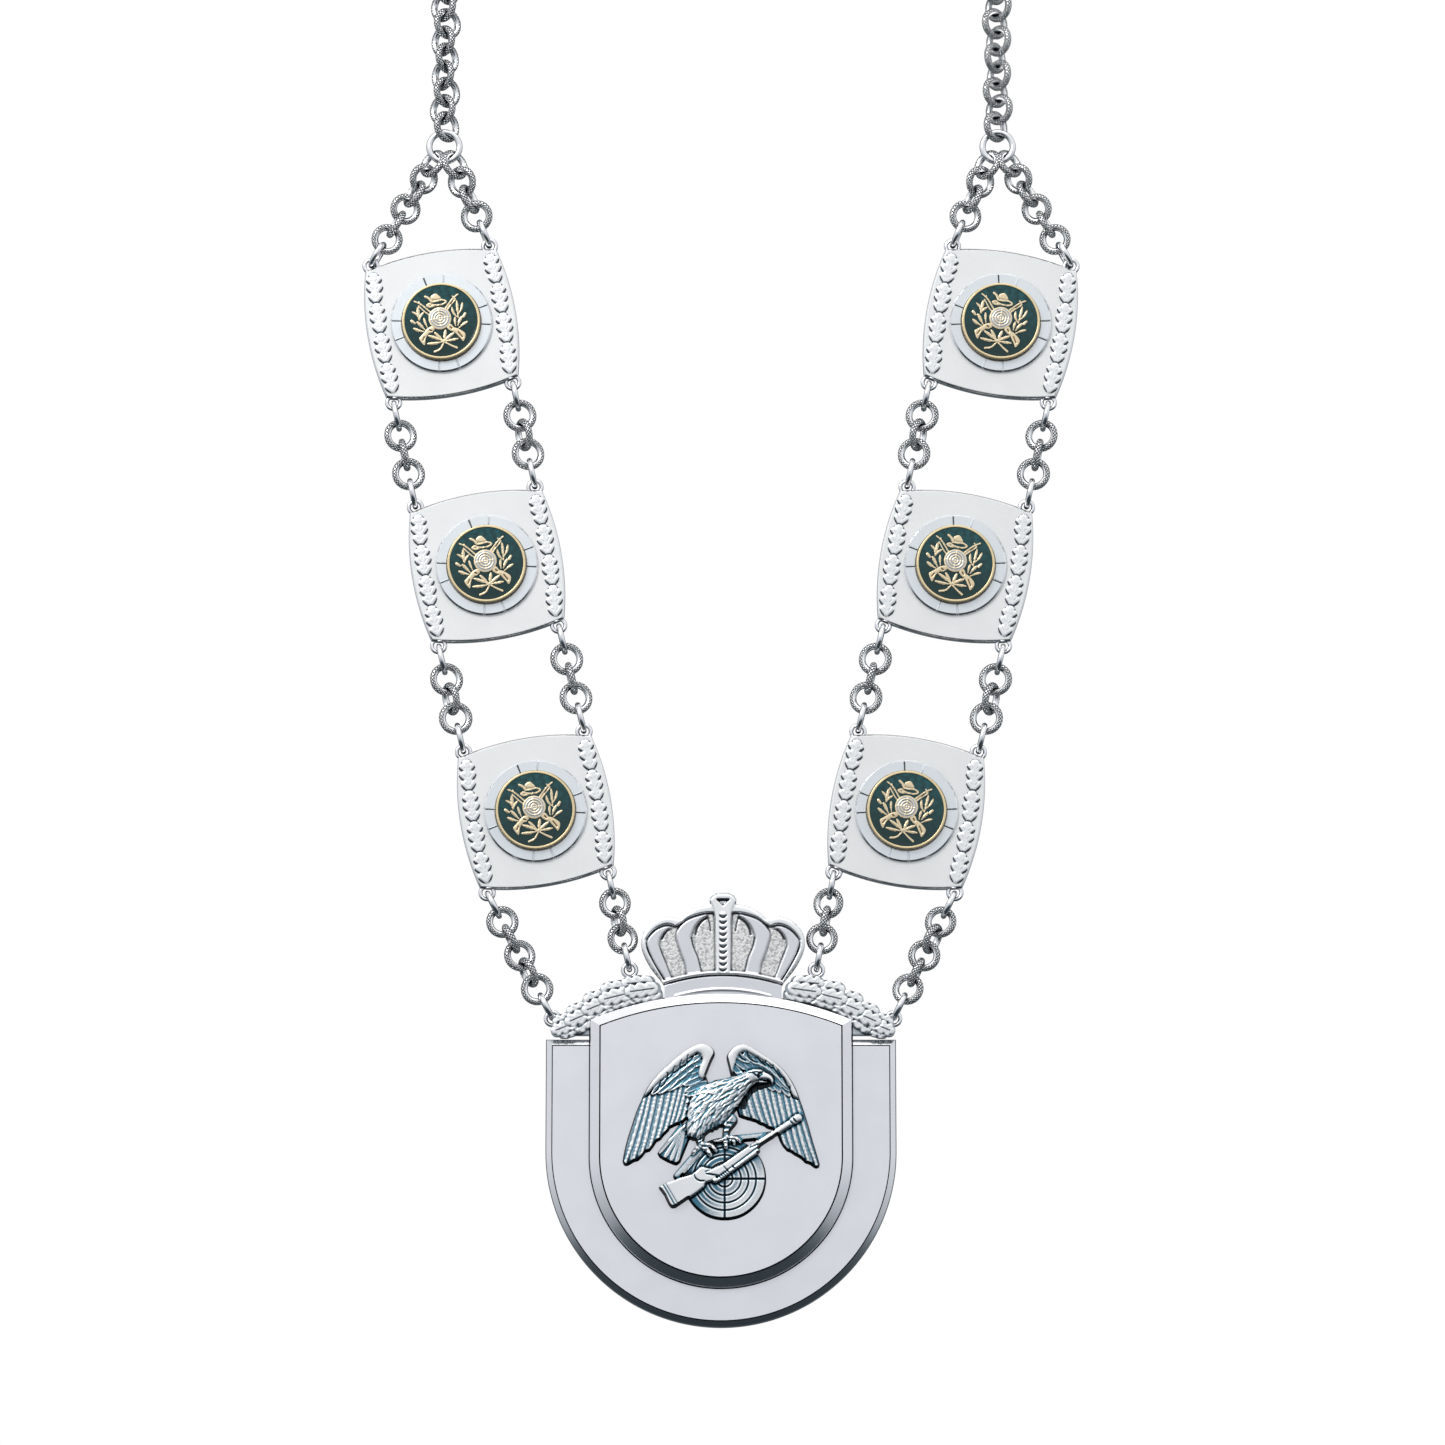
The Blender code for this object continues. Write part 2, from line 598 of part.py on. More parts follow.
def eagle():
    """The cast relief on the field: an eagle over a target with a rifle across it, as one solid."""
    low = FIELD_FACE + GAP
    middle = Vector((TARGET_X, -TARGET_DROP, 0))
    rims = [(TARGET_RADIUS, low), (TARGET_RADIUS, low + TARGET_HEIGHT)]
    base = turned("eagle_relief", rims, TARGET_SIDES, "old_silver")
    base.data.transform(Matrix.Translation(middle))
    extras = []
    for rows in (LEFT_WING, RIGHT_WING, TAIL):
        outline = counter_clockwise([eagle_point(row) for row in rows])
        high, edge = low + WING_RELIEF, WING_RELIEF / 2
        extras.append(plate("wing", outline, low, high, "old_silver", edge, edge))
    extras.append(eagle_body(low))
    extras.append(rifle(low))
    return stand(fuse(base, extras), 0, PENDANT_Z)


def eagle_body(low):
    """The eagle from thigh to beak: half-round sections along its back, flat behind."""
    centres = [eagle_point(row) for row in BODY_SECTIONS]
    rings = []
    for i, row in enumerate(BODY_SECTIONS):
        way = (centres[min(i + 1, len(centres) - 1)] - centres[max(i - 1, 0)]).normalized()
        across = Vector((-way.y, way.x))
        radius = row["radius"] * EAGLE_HALF_SPAN
        height = BODY_RELIEF * sqrt(row["radius"] / BODY_SECTIONS[3]["radius"])
        ring = []
        for j in range(6):
            angle = pi * j / 5
            spot = centres[i] + across * radius * cos(angle)
            ring.append(Vector((spot.x, spot.y, low + WING_RELIEF * 0.5 + height * sin(angle))))
        ring.append(Vector((*(centres[i] - across * radius), low)))
        ring.append(Vector((*(centres[i] + across * radius), low)))
        rings.append(ring)
    return loft("body", rings, "old_silver")


def rifle(low):
    """The rifle that lies across the target, butt to the lower left."""
    rings = []
    for row in RIFLE_SECTIONS:
        x = row["along"] * RIFLE_HALF_LENGTH
        y_low, y_high = row["low"] * 2 * RIFLE_HALF_LENGTH, row["high"] * 2 * RIFLE_HALF_LENGTH
        rings.append([Vector((x, y_low, low)), Vector((x, y_high, low)),
                      Vector((x, y_high, low + RIFLE_HEIGHT)), Vector((x, y_low, low + RIFLE_HEIGHT))])
    made = loft("rifle", rings, "old_silver")
    middle = Vector((TARGET_X + 0.2 * TARGET_RADIUS, TARGET_RADIUS * 0.53 - TARGET_DROP, 0))
    made.matrix_world = Matrix.Translation(middle) @ Matrix.Rotation(RIFLE_ANGLE, 4, "Z")
    bpy.context.view_layer.update()
    return made


# Chains that hang as tubes of the chain's own width

def smooth_route(points, step):
    """Points every step along a smooth curve through the given points."""
    fine = []
    for i in range(len(points) - 1):
        before, here = points[max(i - 1, 0)], points[i]
        there, after = points[i + 1], points[min(i + 2, len(points) - 1)]
        for j in range(16):
            t = j / 16
            fine.append(0.5 * ((2 * here) + (there - before) * t
                               + (2 * before - 5 * here + 4 * there - after) * t * t
                               + (3 * here - before - 3 * there + after) * t * t * t))
    fine.append(points[-1])
    lengths = [0.0]
    for i in range(1, len(fine)):
        lengths.append(lengths[-1] + (fine[i] - fine[i - 1]).length)
    count = max(2, round(lengths[-1] / step))
    chosen = []
    for i in range(count + 1):
        want = lengths[-1] * i / count
        j = max(1, next((k for k, length in enumerate(lengths) if length >= want - 1e-9), len(fine) - 1))
        share = (want - lengths[j - 1]) / (lengths[j] - lengths[j - 1])
        chosen.append(fine[j - 1].lerp(fine[j], share))
    return chosen


def tube(name, route, step):
    """A round bar of the chain's width along a route, closed at both ends."""
    points = smooth_route(route, step)
    line = bpy.data.curves.new(name, "CURVE")
    line.dimensions = "3D"
    line.bevel_depth = CHAIN_WIDTH / 2
    line.bevel_resolution = 2
    line.use_fill_caps = True
    spline = line.splines.new("POLY")
    spline.points.add(len(points) - 1)
    for spot, point in zip(spline.points, points):
        spot.co = (*point, 1)
    line.materials.append(finish("silver"))
    made = bpy.data.objects.new(name, line)
    bpy.context.scene.collection.objects.link(made)
    return made


def neck_tube(name, side):
    """The neck chain of one side, from just over its junction ring round to the closing ring."""
    start = Vector((side * JUNCTION_X, -FRONT_DEPTH, JUNCTION_Z + JUNCTION_REACH))
    end = Vector((side * (CLOSING_RING_OUTER / 2 + GAP), 0, 0))
    route = [Vector((side * row["x"] * JUNCTION_X, (row["back"] - 1) * FRONT_DEPTH, row["down"] * JUNCTION_Z))
             for row in NECK_ROUTE]
    return tube(name, [start] + route + [end], TUBE_STEP)


def fork_tube(name, hub, lug_centre, aside):
    """A strand of the fork, from its junction ring to a plaque's lug. It passes the ring's centre at the distance
    aside, which counts to the viewer's left where it is positive."""
    to_lug = lug_centre - hub
    way = Matrix.Rotation(asin(aside / to_lug.length), 2) @ to_lug.normalized()
    start = hub + Vector((way.y, -way.x)) * aside + way * JUNCTION_REACH
    end = lug_centre - way * (LUG_CENTRE_RADIUS + LUG_WIRE / 2 + GAP)
    route = [Vector((p.x, -FRONT_DEPTH, p.y)) for p in (start, start.lerp(end, 0.5), end)]
    return tube(name, route, TUBE_STEP)


def fork(side, word, lugs):
    """Both strands of the fork of one side, spread so far that their tubes clear each other."""
    hub = Vector((side * JUNCTION_X, JUNCTION_Z))
    half_angle = (lugs[0] - hub).angle(lugs[1] - hub) / 2
    aside = max(0.0, CHAIN_WIDTH / 2 + 2 * GAP - JUNCTION_REACH * tan(half_angle))
    fork_tube(f"fork_chain_{word}_left", hub, lugs[0], aside)
    fork_tube(f"fork_chain_{word}_right", hub, lugs[1], -aside)


def upright_ring(name, outer, wire, x, y, z):
    """A plain ring that stands upright, facing the front."""
    made = hoop(name, (outer - wire) / 2, wire, 12, "silver")
    made.rotation_euler = (pi / 2, 0, 0)
    made.location = (x, y, z)
    return made


# Assembly

def one_side(side, word):
    """Everything of one side: the neck chain, its fork, three plaques and the strands between them."""
    turn = -side * PLAQUE_TILT
    lugs = []
    for i, row in enumerate(PLAQUE_ROWS):
        x = side * row["x"] * JUNCTION_X
        z = JUNCTION_Z - FIRST_DROP - i * PLAQUE_DROP
        label = f"{word}_{row['name']}"
        plaque(f"plaque_{label}", x, z, turn)
        band(f"band_{label}", x, z, turn)
        medallion(f"medallion_{label}", x, z, turn)
        enamel(f"enamel_{label}", x, z, turn)
        lugs.append([front_point(x, z, turn, place_of) for place_of in lug_places()])
    neck_tube(f"neck_chain_{word}", side)
    upright_ring(f"junction_ring_{word}", JUNCTION_RING_OUTER, JUNCTION_RING_WIRE,
                 side * JUNCTION_X, -FRONT_DEPTH, JUNCTION_Z)
    fork(side, word, lugs[0])
    for i, place_word in enumerate(("left", "right")):
        for j, gap_word in enumerate(("upper", "lower")):
            name = f"strand_{word}_{gap_word}_{place_word}"
            strand(name, lugs[j][2 + i], lugs[j + 1][i], PLAQUE_STRAND_LINKS)
    inner, outer = pendant_lugs(side)
    hung = Vector((TOP_SHIFT, PENDANT_Z))
    inner_end = 3 if side < 0 else 2
    outer_end = 2 if side < 0 else 3
    strand(f"strand_{word}_pendant_inner", lugs[2][inner_end], hung + inner, PENDANT_INNER_LINKS)
    strand(f"strand_{word}_pendant_outer", lugs[2][outer_end], hung + outer, PENDANT_OUTER_LINKS)


def main():
    for thing in list(bpy.data.objects):
        bpy.data.objects.remove(thing)
    one_side(-1, "left")
    one_side(1, "right")
    upright_ring("closing_ring", CLOSING_RING_OUTER, CLOSING_RING_WIRE, 0, 0, 0)
    outer_shield()
    inner_shield()
    crown()
    wreath("wreath_left", -1)
    wreath("wreath_right", 1)
    eagle()


main()
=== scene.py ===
# Shooting guild chain: the looks of a crowned shield pendant, six enamelled plaques and their link chains.
# Tables and shapes are in millimetres, and become metres where a mesh is made. +Z up, the front faces -Y.
# An upright piece is drawn with x to the viewer's right, y up and z towards the viewer, and then stood up.

from math import ceil, cos, pi, radians, sin, sqrt, tau

import bpy
import bmesh
import numpy as np
from mathutils import Matrix, Vector


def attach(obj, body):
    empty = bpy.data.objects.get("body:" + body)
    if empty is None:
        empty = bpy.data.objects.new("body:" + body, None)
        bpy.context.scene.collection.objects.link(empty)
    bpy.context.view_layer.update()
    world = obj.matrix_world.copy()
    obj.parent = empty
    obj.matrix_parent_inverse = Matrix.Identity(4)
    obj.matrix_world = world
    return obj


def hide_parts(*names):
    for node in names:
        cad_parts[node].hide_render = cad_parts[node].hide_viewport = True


MM = 0.001
GAP = 0.3

# Camera, floor and light
VIEW_TARGET = (0.45, -127.5, -404.0)
VIEW_DISTANCE = 1700.0
VIEW_BELOW = radians(10)
VIEW_WIDTH = 433.5
SENSOR = 36.0
FLOOR_Z = -800.0
FLOOR_SIZE = 12000.0

# Chain links: wire, and how finely a link is made
LINK_WIRE = 2.1
JUMP_WIRE = 1.7
FUSE = 0.14
LINK_AROUND = 40
LINK_ACROSS = 14
LINK_LEAN = radians(24)
PLAQUE_STRAND_LINKS = 5
PENDANT_INNER_LINKS = 5
PENDANT_OUTER_LINKS = 7
FORK_INNER_LINKS = 5
FORK_OUTER_LINKS = 7

# Neck chain links: radius, distance, place of the first and last one, roll to either side and unevenness
NECK_LINK_RADIUS = 3.85
NECK_PITCH = 5.4
NECK_FIRST = 6.4
NECK_LAST = 0.1
NECK_ROLL = radians(45)
NECK_UNEVEN = 0.12
NECK_SWAY = 0.6

# Lugs
LUG_WIRE = 1.2
LUG_HOLE = 2.8
LUG_RADIUS = (LUG_HOLE + LUG_WIRE) / 2
JUMP_REACH = LUG_RADIUS - LUG_WIRE / 2 - GAP - JUMP_WIRE / 2

# Junction rings and closing ring
FRONT_DEPTH = 127.5
JUNCTION_X = 84.5
JUNCTION_Z = -225.5
JUNCTION_OUTER = 11.1
JUNCTION_WIRE = 1.9
JUNCTION_REACH = JUNCTION_OUTER / 2 + GAP
FORK_ANCHOR = JUNCTION_OUTER / 2 - JUNCTION_WIRE - LINK_WIRE / 2
FORK_SPREAD = radians(38)
CLOSING_OUTER = 15.0
CLOSING_WIRE = 2.4

# Plaques
PLAQUE_WIDTH = 40.4
PLAQUE_HEIGHT = 40.0
PLAQUE_BULGE = 2.6
PLAQUE_THICKNESS = 3.0
PLAQUE_EDGE = 0.5
PLAQUE_RIM = 0.18
PLAQUE_TILT = radians(9.8)
PLAQUE_FACE = PLAQUE_THICKNESS / 2
FIRST_DROP = 55.7
PLAQUE_DROP = 75.0
LUG_INSET = 1.9
LUG_STAND = 1.6

# Leaf garlands, the ring band and the enamel medallion of a plaque
GARLAND_INSET = 2.4
GARLAND_CLEAR = 1.0
GARLAND_WIDTH = 4.8
GARLAND_LEAVES = 4
GARLAND_CELL = 0.17
GARLAND_END = 18.9
BAND_OUTER = 15.4
BAND_HEIGHT = 0.8
BAND_GROOVE = 0.20
BAND_CHAMFER = 0.45
BAND_EDGE = 0.14
BAND_SPREAD = radians(12)
BAND_STEPS = 11
PALE_CUTS = (2, 6, 7)
MEDALLION_RADIUS = 11.8
MEDALLION_HEIGHT = 2.8
MEDALLION_RIM = 0.75
MEDALLION_EDGE = 0.22
MEDALLION_FLOOR = 1.0
MEDALLION_SIDES = 96
ENAMEL_RECESS = 0.3
CUP_BACK = PLAQUE_FACE + GAP
CUP_TOP = CUP_BACK + MEDALLION_HEIGHT
ENAMEL_TOP = CUP_TOP - ENAMEL_RECESS
ENAMEL_RADIUS = MEDALLION_RADIUS - MEDALLION_RIM

# Pendant: the two shields, the crown, the wreath and the relief
PENDANT_DROP = 101.8
PENDANT_Z = JUNCTION_Z - FIRST_DROP - 2 * PLAQUE_DROP - PENDANT_DROP
SHIELD_HALF_WIDTH = 52.0
SHIELD_SHOULDER = 33.4
SHIELD_THICKNESS = 3.0
SHIELD_CHAMFER = 2.1
SHIELD_CHAMFER_DEPTH = 1.2
SHIELD_SHARP = 14
FIELD_HALF_WIDTH = 38.8
FIELD_DROP = 1.6
FIELD_SHOULDER = 39.0
FIELD_ARCH = 7.8
FIELD_THICKNESS = 2.8
FIELD_BEVEL = 3.2
FIELD_BEVEL_DEPTH = 1.6
FIELD_BACK = SHIELD_THICKNESS / 2 + GAP
FIELD_FACE = FIELD_BACK + FIELD_THICKNESS
PENDANT_FOOT = SHIELD_SHOULDER + GAP
TOP_SHIFT = 0.6
CROWN_BACK = -1.5
CROWN_FACE = 1.5
WREATH_BACK = -1.35
WREATH_FACE = 1.35
INNER_LUG = (27.8, 54.1)
OUTER_LUG = (50.7, 39.6)

# Colours of the metals, and the knurling of a link: cuts round its ring and round its wire
BRIGHT = (0.90, 0.91, 0.93)
TEAL = (0.070, 0.200, 0.280)
BLACK = (0.016, 0.020, 0.024)
BROWN = (0.20, 0.13, 0.06)
SOOT = (0.06, 0.07, 0.08)
KNURL_ALONG = 26
KNURL_ACROSS = 6
RIDGE_NOISE = 0.16

# Plaques, top to bottom: how far each stands from the middle, as a share of the junction ring's distance
PLAQUE_ROWS = [
    {"name": "top", "x": 1.004},
    {"name": "middle", "x": 0.835},
    {"name": "bottom", "x": 0.656},
]

# What a plaque carries: the piece's name round the plaque's own, its mesh, its node and its slot
PLAQUE_PIECES = [
    ("plate_{}", "plate", "plaque_{}", "matt_silver"),
    ("garland_{}_left", "garland_left", None, "matt_silver"),
    ("garland_{}_right", "garland_right", None, "matt_silver"),
    ("ring_band_{}", "band", "band_{}", "silver"),
    ("cup_{}", "cup", "medallion_{}", "gilt"),
    ("glass_{}", "enamel", "enamel_{}", "green_enamel"),
    ("device_{}", "device", None, "gilt"),
]

# Route of the right neck chain above its junction ring, as shares of the ring's distance from the middle,
# of the depth from the nape to the front, and of the ring's depth under the nape
NECK_ROUTE = [
    {"x": 1.000, "back": 0.000, "down": 0.865},
    {"x": 1.000, "back": 0.002, "down": 0.710},
    {"x": 0.996, "back": 0.051, "down": 0.555},
    {"x": 0.970, "back": 0.204, "down": 0.400},
    {"x": 0.893, "back": 0.439, "down": 0.257},
    {"x": 0.734, "back": 0.675, "down": 0.146},
    {"x": 0.515, "back": 0.855, "down": 0.062},
    {"x": 0.260, "back": 0.961, "down": 0.013},
]

# What the silver reflects: the height of a direction from -1, straight down, to 1, and its colour there.
# The colour behind the object is darker, so that bevels that face away stand out.
SKY = [
    (-1.0, (0.028, 0.036, 0.042)),
    (-0.58, (0.040, 0.052, 0.060)),
    (-0.45, (0.085, 0.105, 0.120)),
    (-0.32, (0.40, 0.43, 0.46)),
    (-0.10, (0.62, 0.64, 0.68)),
    (0.05, (0.73, 0.75, 0.79)),
    (0.20, (0.81, 0.83, 0.86)),
    (0.34, (0.90, 0.91, 0.92)),
    (1.0, (0.97, 0.97, 0.97)),
]
SKY_BEHIND = (0.10, 0.12, 0.13)

# Lamps: name, place, size and power in watts
LIGHTS = [
    ("key", (-700, -1300, 500), 700, 8.0),
    ("top", (200, -900, 1100), 900, 3.0),
]


# Node trees

def node(tree, kind, inputs=None, **settings):
    """A shader node with its settings. Its inputs are values or the outputs of other nodes."""
    made = tree.nodes.new("ShaderNode" + kind)
    for key, value in settings.items():
        setattr(made, key, value)
    for key, value in (inputs or {}).items():
        if isinstance(value, bpy.types.NodeSocket):
            tree.links.new(value, made.inputs[key])
        else:
            made.inputs[key].default_value = value
    return made


def maths(tree, operation, *values):
    return node(tree, "Math", dict(enumerate(values)), operation=operation).outputs[0]


def product(tree, first, second):
    return maths(tree, "MULTIPLY", first, second)


def blend(tree, share, low, high):
    """A colour between two colours."""
    low, high = (c if isinstance(c, bpy.types.NodeSocket) else (*c, 1.0) for c in (low, high))
    return node(tree, "Mix", {0: share, 6: low, 7: high}, data_type="RGBA").outputs[2]


def ramp(tree, value, low, high):
    """How far a value is from low to high, from 0 to 1 with soft ends."""
    made = node(tree, "MapRange", {"Value": value, "From Min": low, "From Max": high},
                interpolation_type="SMOOTHSTEP")
    return made.outputs["Result"]


def grain(tree, scale, detail=3.0):
    """A fine noise in the piece's own space. The scale is in waves per metre."""
    where = node(tree, "TexCoord").outputs["Object"]
    return node(tree, "TexNoise", {"Vector": where, "Scale": scale, "Detail": detail}).outputs["Fac"]


def openness(tree, reach):
    """How open a spot is, from 0 in a tight corner to 1 where nothing stands within reach."""
    return node(tree, "AmbientOcclusion", {"Distance": reach * MM}, samples=8).outputs["AO"]


def start_material(name, settings):
    """A material, its node tree and its shader with the given settings."""
    made = bpy.data.materials.new(name)
    made.use_nodes = True
    shader = made.node_tree.nodes["Principled BSDF"]
    for key, value in settings.items():
        shader.inputs[key].default_value = value
    return made, made.node_tree, shader


def finish_material(made, shader, colour, height=None, distance=0.0, roughness=None):
    """Links a material's colour, its bump of a height in mm, and its roughness."""
    tree = made.node_tree
    tree.links.new(colour, shader.inputs["Base Color"])
    if roughness is not None:
        tree.links.new(roughness, shader.inputs["Roughness"])
    if height is not None:
        raised = node(tree, "Bump", {"Height": height, "Distance": distance * MM, "Strength": 1.0})
        tree.links.new(raised.outputs["Normal"], shader.inputs["Normal"])
    return made


def metal(name, colour, roughness, metallic=1.0, tarnish_and_shade=None, depth=1.5, ridge=None, deep=None,
          grain_scale=1500.0, grain_height=0.01, spread=0.08, specks=0.0):
    """A worked metal: fine grain, patches of uneven polish, and tarnish with painted shade. The darkening
    lies in corners within a depth, as tarnish and painted shade, or on a relief where its ridge values are
    low, as patina and, where tones were laid as shade, painted shade, with a deep colour where they are
    lowest."""
    made, tree, shader = start_material(name, {"Metallic": metallic})
    cloud, fine = grain(tree, 90.0, 2.0), grain(tree, grain_scale)
    uneven = maths(tree, "MULTIPLY_ADD", cloud, spread, roughness - spread / 2)
    shown = blend(tree, ramp(tree, cloud, 0.3, 0.7), tuple(c * 0.97 for c in colour), colour)
    if specks:
        dots = maths(tree, "SUBTRACT", 1.0, ramp(tree, fine, 0.38, 0.56))
        shown = blend(tree, product(tree, dots, specks), shown, tarnish_and_shade)
    if ridge:
        low, high, mean = *ridge, RIDGE_NOISE / 2
        height = node(tree, "Attribute", attribute_name="ridge").outputs["Fac"]
        worn = maths(tree, "MULTIPLY_ADD", fine, RIDGE_NOISE, height)
        shown = blend(tree, ramp(tree, worn, low + mean, high + mean), tarnish_and_shade, shown)
        if deep:
            shown = blend(tree, ramp(tree, worn, 0.5 * low + mean, 0.8 * low + mean), deep, shown)
    elif tarnish_and_shade:
        # darkening in corners by ambient occlusion: tarnish and painted shade
        shown = blend(tree, ramp(tree, openness(tree, depth), 0.15, 0.75), tarnish_and_shade, shown)
    return finish_material(made, shader, shown, fine, grain_height, uneven)


def knurled_metal(name, colour, tarnish_and_shade):
    """Silver with diamond knurling over the outer half of each link's wire, its cuts dark with age, and
    painted shade where links crowd each other.
    """
    made, tree, shader = start_material(name, {"Metallic": 1.0})
    map_place = node(tree, "SeparateXYZ", {0: node(tree, "UVMap", uv_map="UVMap").outputs[0]})
    along, across = map_place.outputs[0], map_place.outputs[1]
    waves = []
    for way in (KNURL_ACROSS, -KNURL_ACROSS):
        slanted = maths(tree, "ADD", product(tree, along, pi * KNURL_ALONG), product(tree, across, pi * way))
        waves.append(maths(tree, "ABSOLUTE", maths(tree, "SINE", slanted)))
    height = maths(tree, "MINIMUM", *waves)
    outer = ramp(tree, maths(tree, "COSINE", product(tree, across, tau)), -0.35, 0.1)
    cut = product(tree, maths(tree, "SUBTRACT", 1.0, ramp(tree, height, 0.18, 0.50)), outer)
    # painted shade where the links crowd each other, over a little tarnish
    shown = blend(tree, ramp(tree, openness(tree, 2.2), 0.25, 0.85), tarnish_and_shade, colour)
    shown = blend(tree, product(tree, cut, 0.95), shown, tarnish_and_shade)
    raised = product(tree, ramp(tree, height, 0.0, 0.7), outer)
    rougher = maths(tree, "MULTIPLY_ADD", cut, 0.25, 0.2)
    return finish_material(made, shader, shown, raised, distance=0.4, roughness=rougher)


def enamel_glass(name):
    """Deep green enamel with a wavy glossy surface, and painted light that makes it a little lighter towards
    its top.
    """
    made, tree, shader = start_material(name, {
        "Roughness": 0.14, "Specular IOR Level": 0.25, "Coat Weight": 0.25, "Coat Roughness": 0.05})
    height = node(tree, "SeparateXYZ", {0: node(tree, "TexCoord").outputs["Object"]}).outputs[1]
    # painted light: the enamel grows lighter towards its top
    painted_top_light = ramp(tree, height, -ENAMEL_RADIUS * MM, ENAMEL_RADIUS * MM)
    mottle_and_light = product(tree, painted_top_light, ramp(tree, grain(tree, 700.0), 0.2, 0.8))
    green = blend(tree, mottle_and_light, (0.005, 0.026, 0.026), (0.012, 0.085, 0.095))
    return finish_material(made, shader, green, grain(tree, 260.0, 1.0), distance=0.03)


def floor_paper(name):
    made, tree, shader = start_material(name, {"Roughness": 0.8})
    white = blend(tree, grain(tree, 30.0, 4.0), (0.86, 0.86, 0.87), (0.90, 0.90, 0.91))
    return finish_material(made, shader, white)


def make_materials():
    """Every finish of the object by name."""
    soft = {"roughness": 0.34, "metallic": 0.85, "grain_scale": 6000.0}
    return {
        "polished": metal("polished_silver", BRIGHT, roughness=0.14, tarnish_and_shade=(0.06, 0.09, 0.11), depth=2.0,
                          spread=0.06),
        "knurled": knurled_metal("knurled_silver", (0.97, 0.975, 0.98), (0.022, 0.038, 0.046)),
        "blasted": metal("blasted_silver", (0.785, 0.795, 0.79), roughness=0.52, metallic=0.55,
                         grain_scale=5200.0, grain_height=0.03, spread=0.04),
        # satin darkens in corners within 0.7 mm: painted shadow at the joints and round the eagle
        "satin": metal("satin_silver", (0.83, 0.84, 0.87), tarnish_and_shade=(0.10, 0.16, 0.19), depth=0.7, **soft),
        "brushed": metal("brushed_silver", (0.73, 0.745, 0.775), tarnish_and_shade=(0.36, 0.40, 0.43), deep=SOOT,
                         ridge=(0.20, 0.45), **soft),
        "frosted": metal("frosted_silver", (0.76, 0.80, 0.825), **soft),
        # the bevel darkens in corners within 0.7 mm: painted shadow at the joints
        "bevel": metal("bevel_silver", (0.86, 0.87, 0.89), roughness=0.20, tarnish_and_shade=(0.06, 0.10, 0.12),
                       depth=0.7, grain_scale=3000.0, grain_height=0.006),
        "chased": metal("chased_silver", (0.93, 0.94, 0.94), roughness=0.30, tarnish_and_shade=(0.40, 0.44, 0.47),
                        deep=SOOT, ridge=(0.24, 0.46), grain_scale=2600.0, grain_height=0.015),
        "stippled": metal("stippled_silver", (0.86, 0.86, 0.84), roughness=0.42, tarnish_and_shade=(0.36, 0.37, 0.37),
                          deep=(0.07, 0.08, 0.09), ridge=(0.20, 0.42), specks=0.75, grain_height=0.12),
        "oxidised": metal("oxidised_silver", (0.93, 0.94, 0.94), roughness=0.28, tarnish_and_shade=TEAL, deep=BLACK,
                          ridge=(0.40, 0.60), grain_scale=2400.0, grain_height=0.012),
        # black: the dark cut floors of the ring band, and painted shadow on the eagle's walls and at the
        # inner shield's foot
        "black_and_painted_shadow": metal("black_and_shadow_silver", BLACK, roughness=0.45, grain_scale=2400.0),
        "gilt": metal("gilt_silver", (0.88, 0.72, 0.43), roughness=0.26, tarnish_and_shade=BROWN, depth=0.8),
        "gilt_relief": metal("gilt_relief", (0.82, 0.68, 0.45), roughness=0.34, tarnish_and_shade=BROWN,
                             ridge=(0.12, 0.40), grain_scale=3500.0),
        "enamel": enamel_glass("green_enamel_glass"),
    }


# Meshes

class Shape:
    """Points in mm and faces that grow part by part and then become one mesh."""

    def __init__(self):
        self.points, self.faces, self.slots, self.maps, self.ridges = [], [], [], [], []
        self.count = 0

    def add(self, points, faces, slot=0, maps=None, ridges=None):
        """Adds points, faces as rows of point numbers, and one slot for all of them or one for each."""
        for face in faces:
            self.faces.append([int(corner) + self.count for corner in face])
        self.points.append(np.asarray(points, float))
        self.slots += [slot] * len(faces) if isinstance(slot, int) else list(slot)
        corners = sum(len(face) for face in faces)
        self.maps.append(np.zeros((corners, 2)) if maps is None else maps)
        self.ridges.append(np.ones(len(points)) if ridges is None else ridges)
        self.count += len(points)
        return self

    def mesh(self, name, finishes, sharp=35):
        """One mesh with smooth quads, flat larger faces, and edges sharp from an angle in degrees."""
        made = bpy.data.meshes.new(name)
        points = np.concatenate(self.points) * MM
        made.from_pydata(points.tolist(), [], self.faces)
        layer = made.uv_layers.new(name="UVMap")
        layer.data.foreach_set("uv", np.concatenate(self.maps).astype(np.float32).ravel())
        made.polygons.foreach_set("material_index", self.slots)
        made.attributes.new("ridge", "FLOAT", "POINT").data.foreach_set("value", np.concatenate(self.ridges))
        made.set_sharp_from_angle(angle=radians(sharp))
        made.polygons.foreach_set("use_smooth", [len(face) <= 4 for face in self.faces])
        for finish in finishes:
            made.materials.append(MATERIALS[finish])
        made.update()
        return made


def stood(x, z, turn=0.0):
    """The place of an upright piece in the frame, turned anticlockwise for the viewer."""
    place = Matrix.Translation((x * MM, -FRONT_DEPTH * MM, z * MM))
    return place @ Matrix.Rotation(pi / 2, 4, "X") @ Matrix.Rotation(turn, 4, "Z")


def linked(name, content):
    """A new object of the scene with a mesh, a camera or a lamp in it."""
    made = bpy.data.objects.new(name, content)
    bpy.context.scene.collection.objects.link(made)
    return made


def show(name, mesh, place, nodes):
    """Puts a piece into the scene, riding on the root body, in place of the CAD nodes it stands for."""
    made = linked(name, mesh)
    made.matrix_world = place
    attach(made, "root")
    if nodes:
        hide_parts(*nodes)


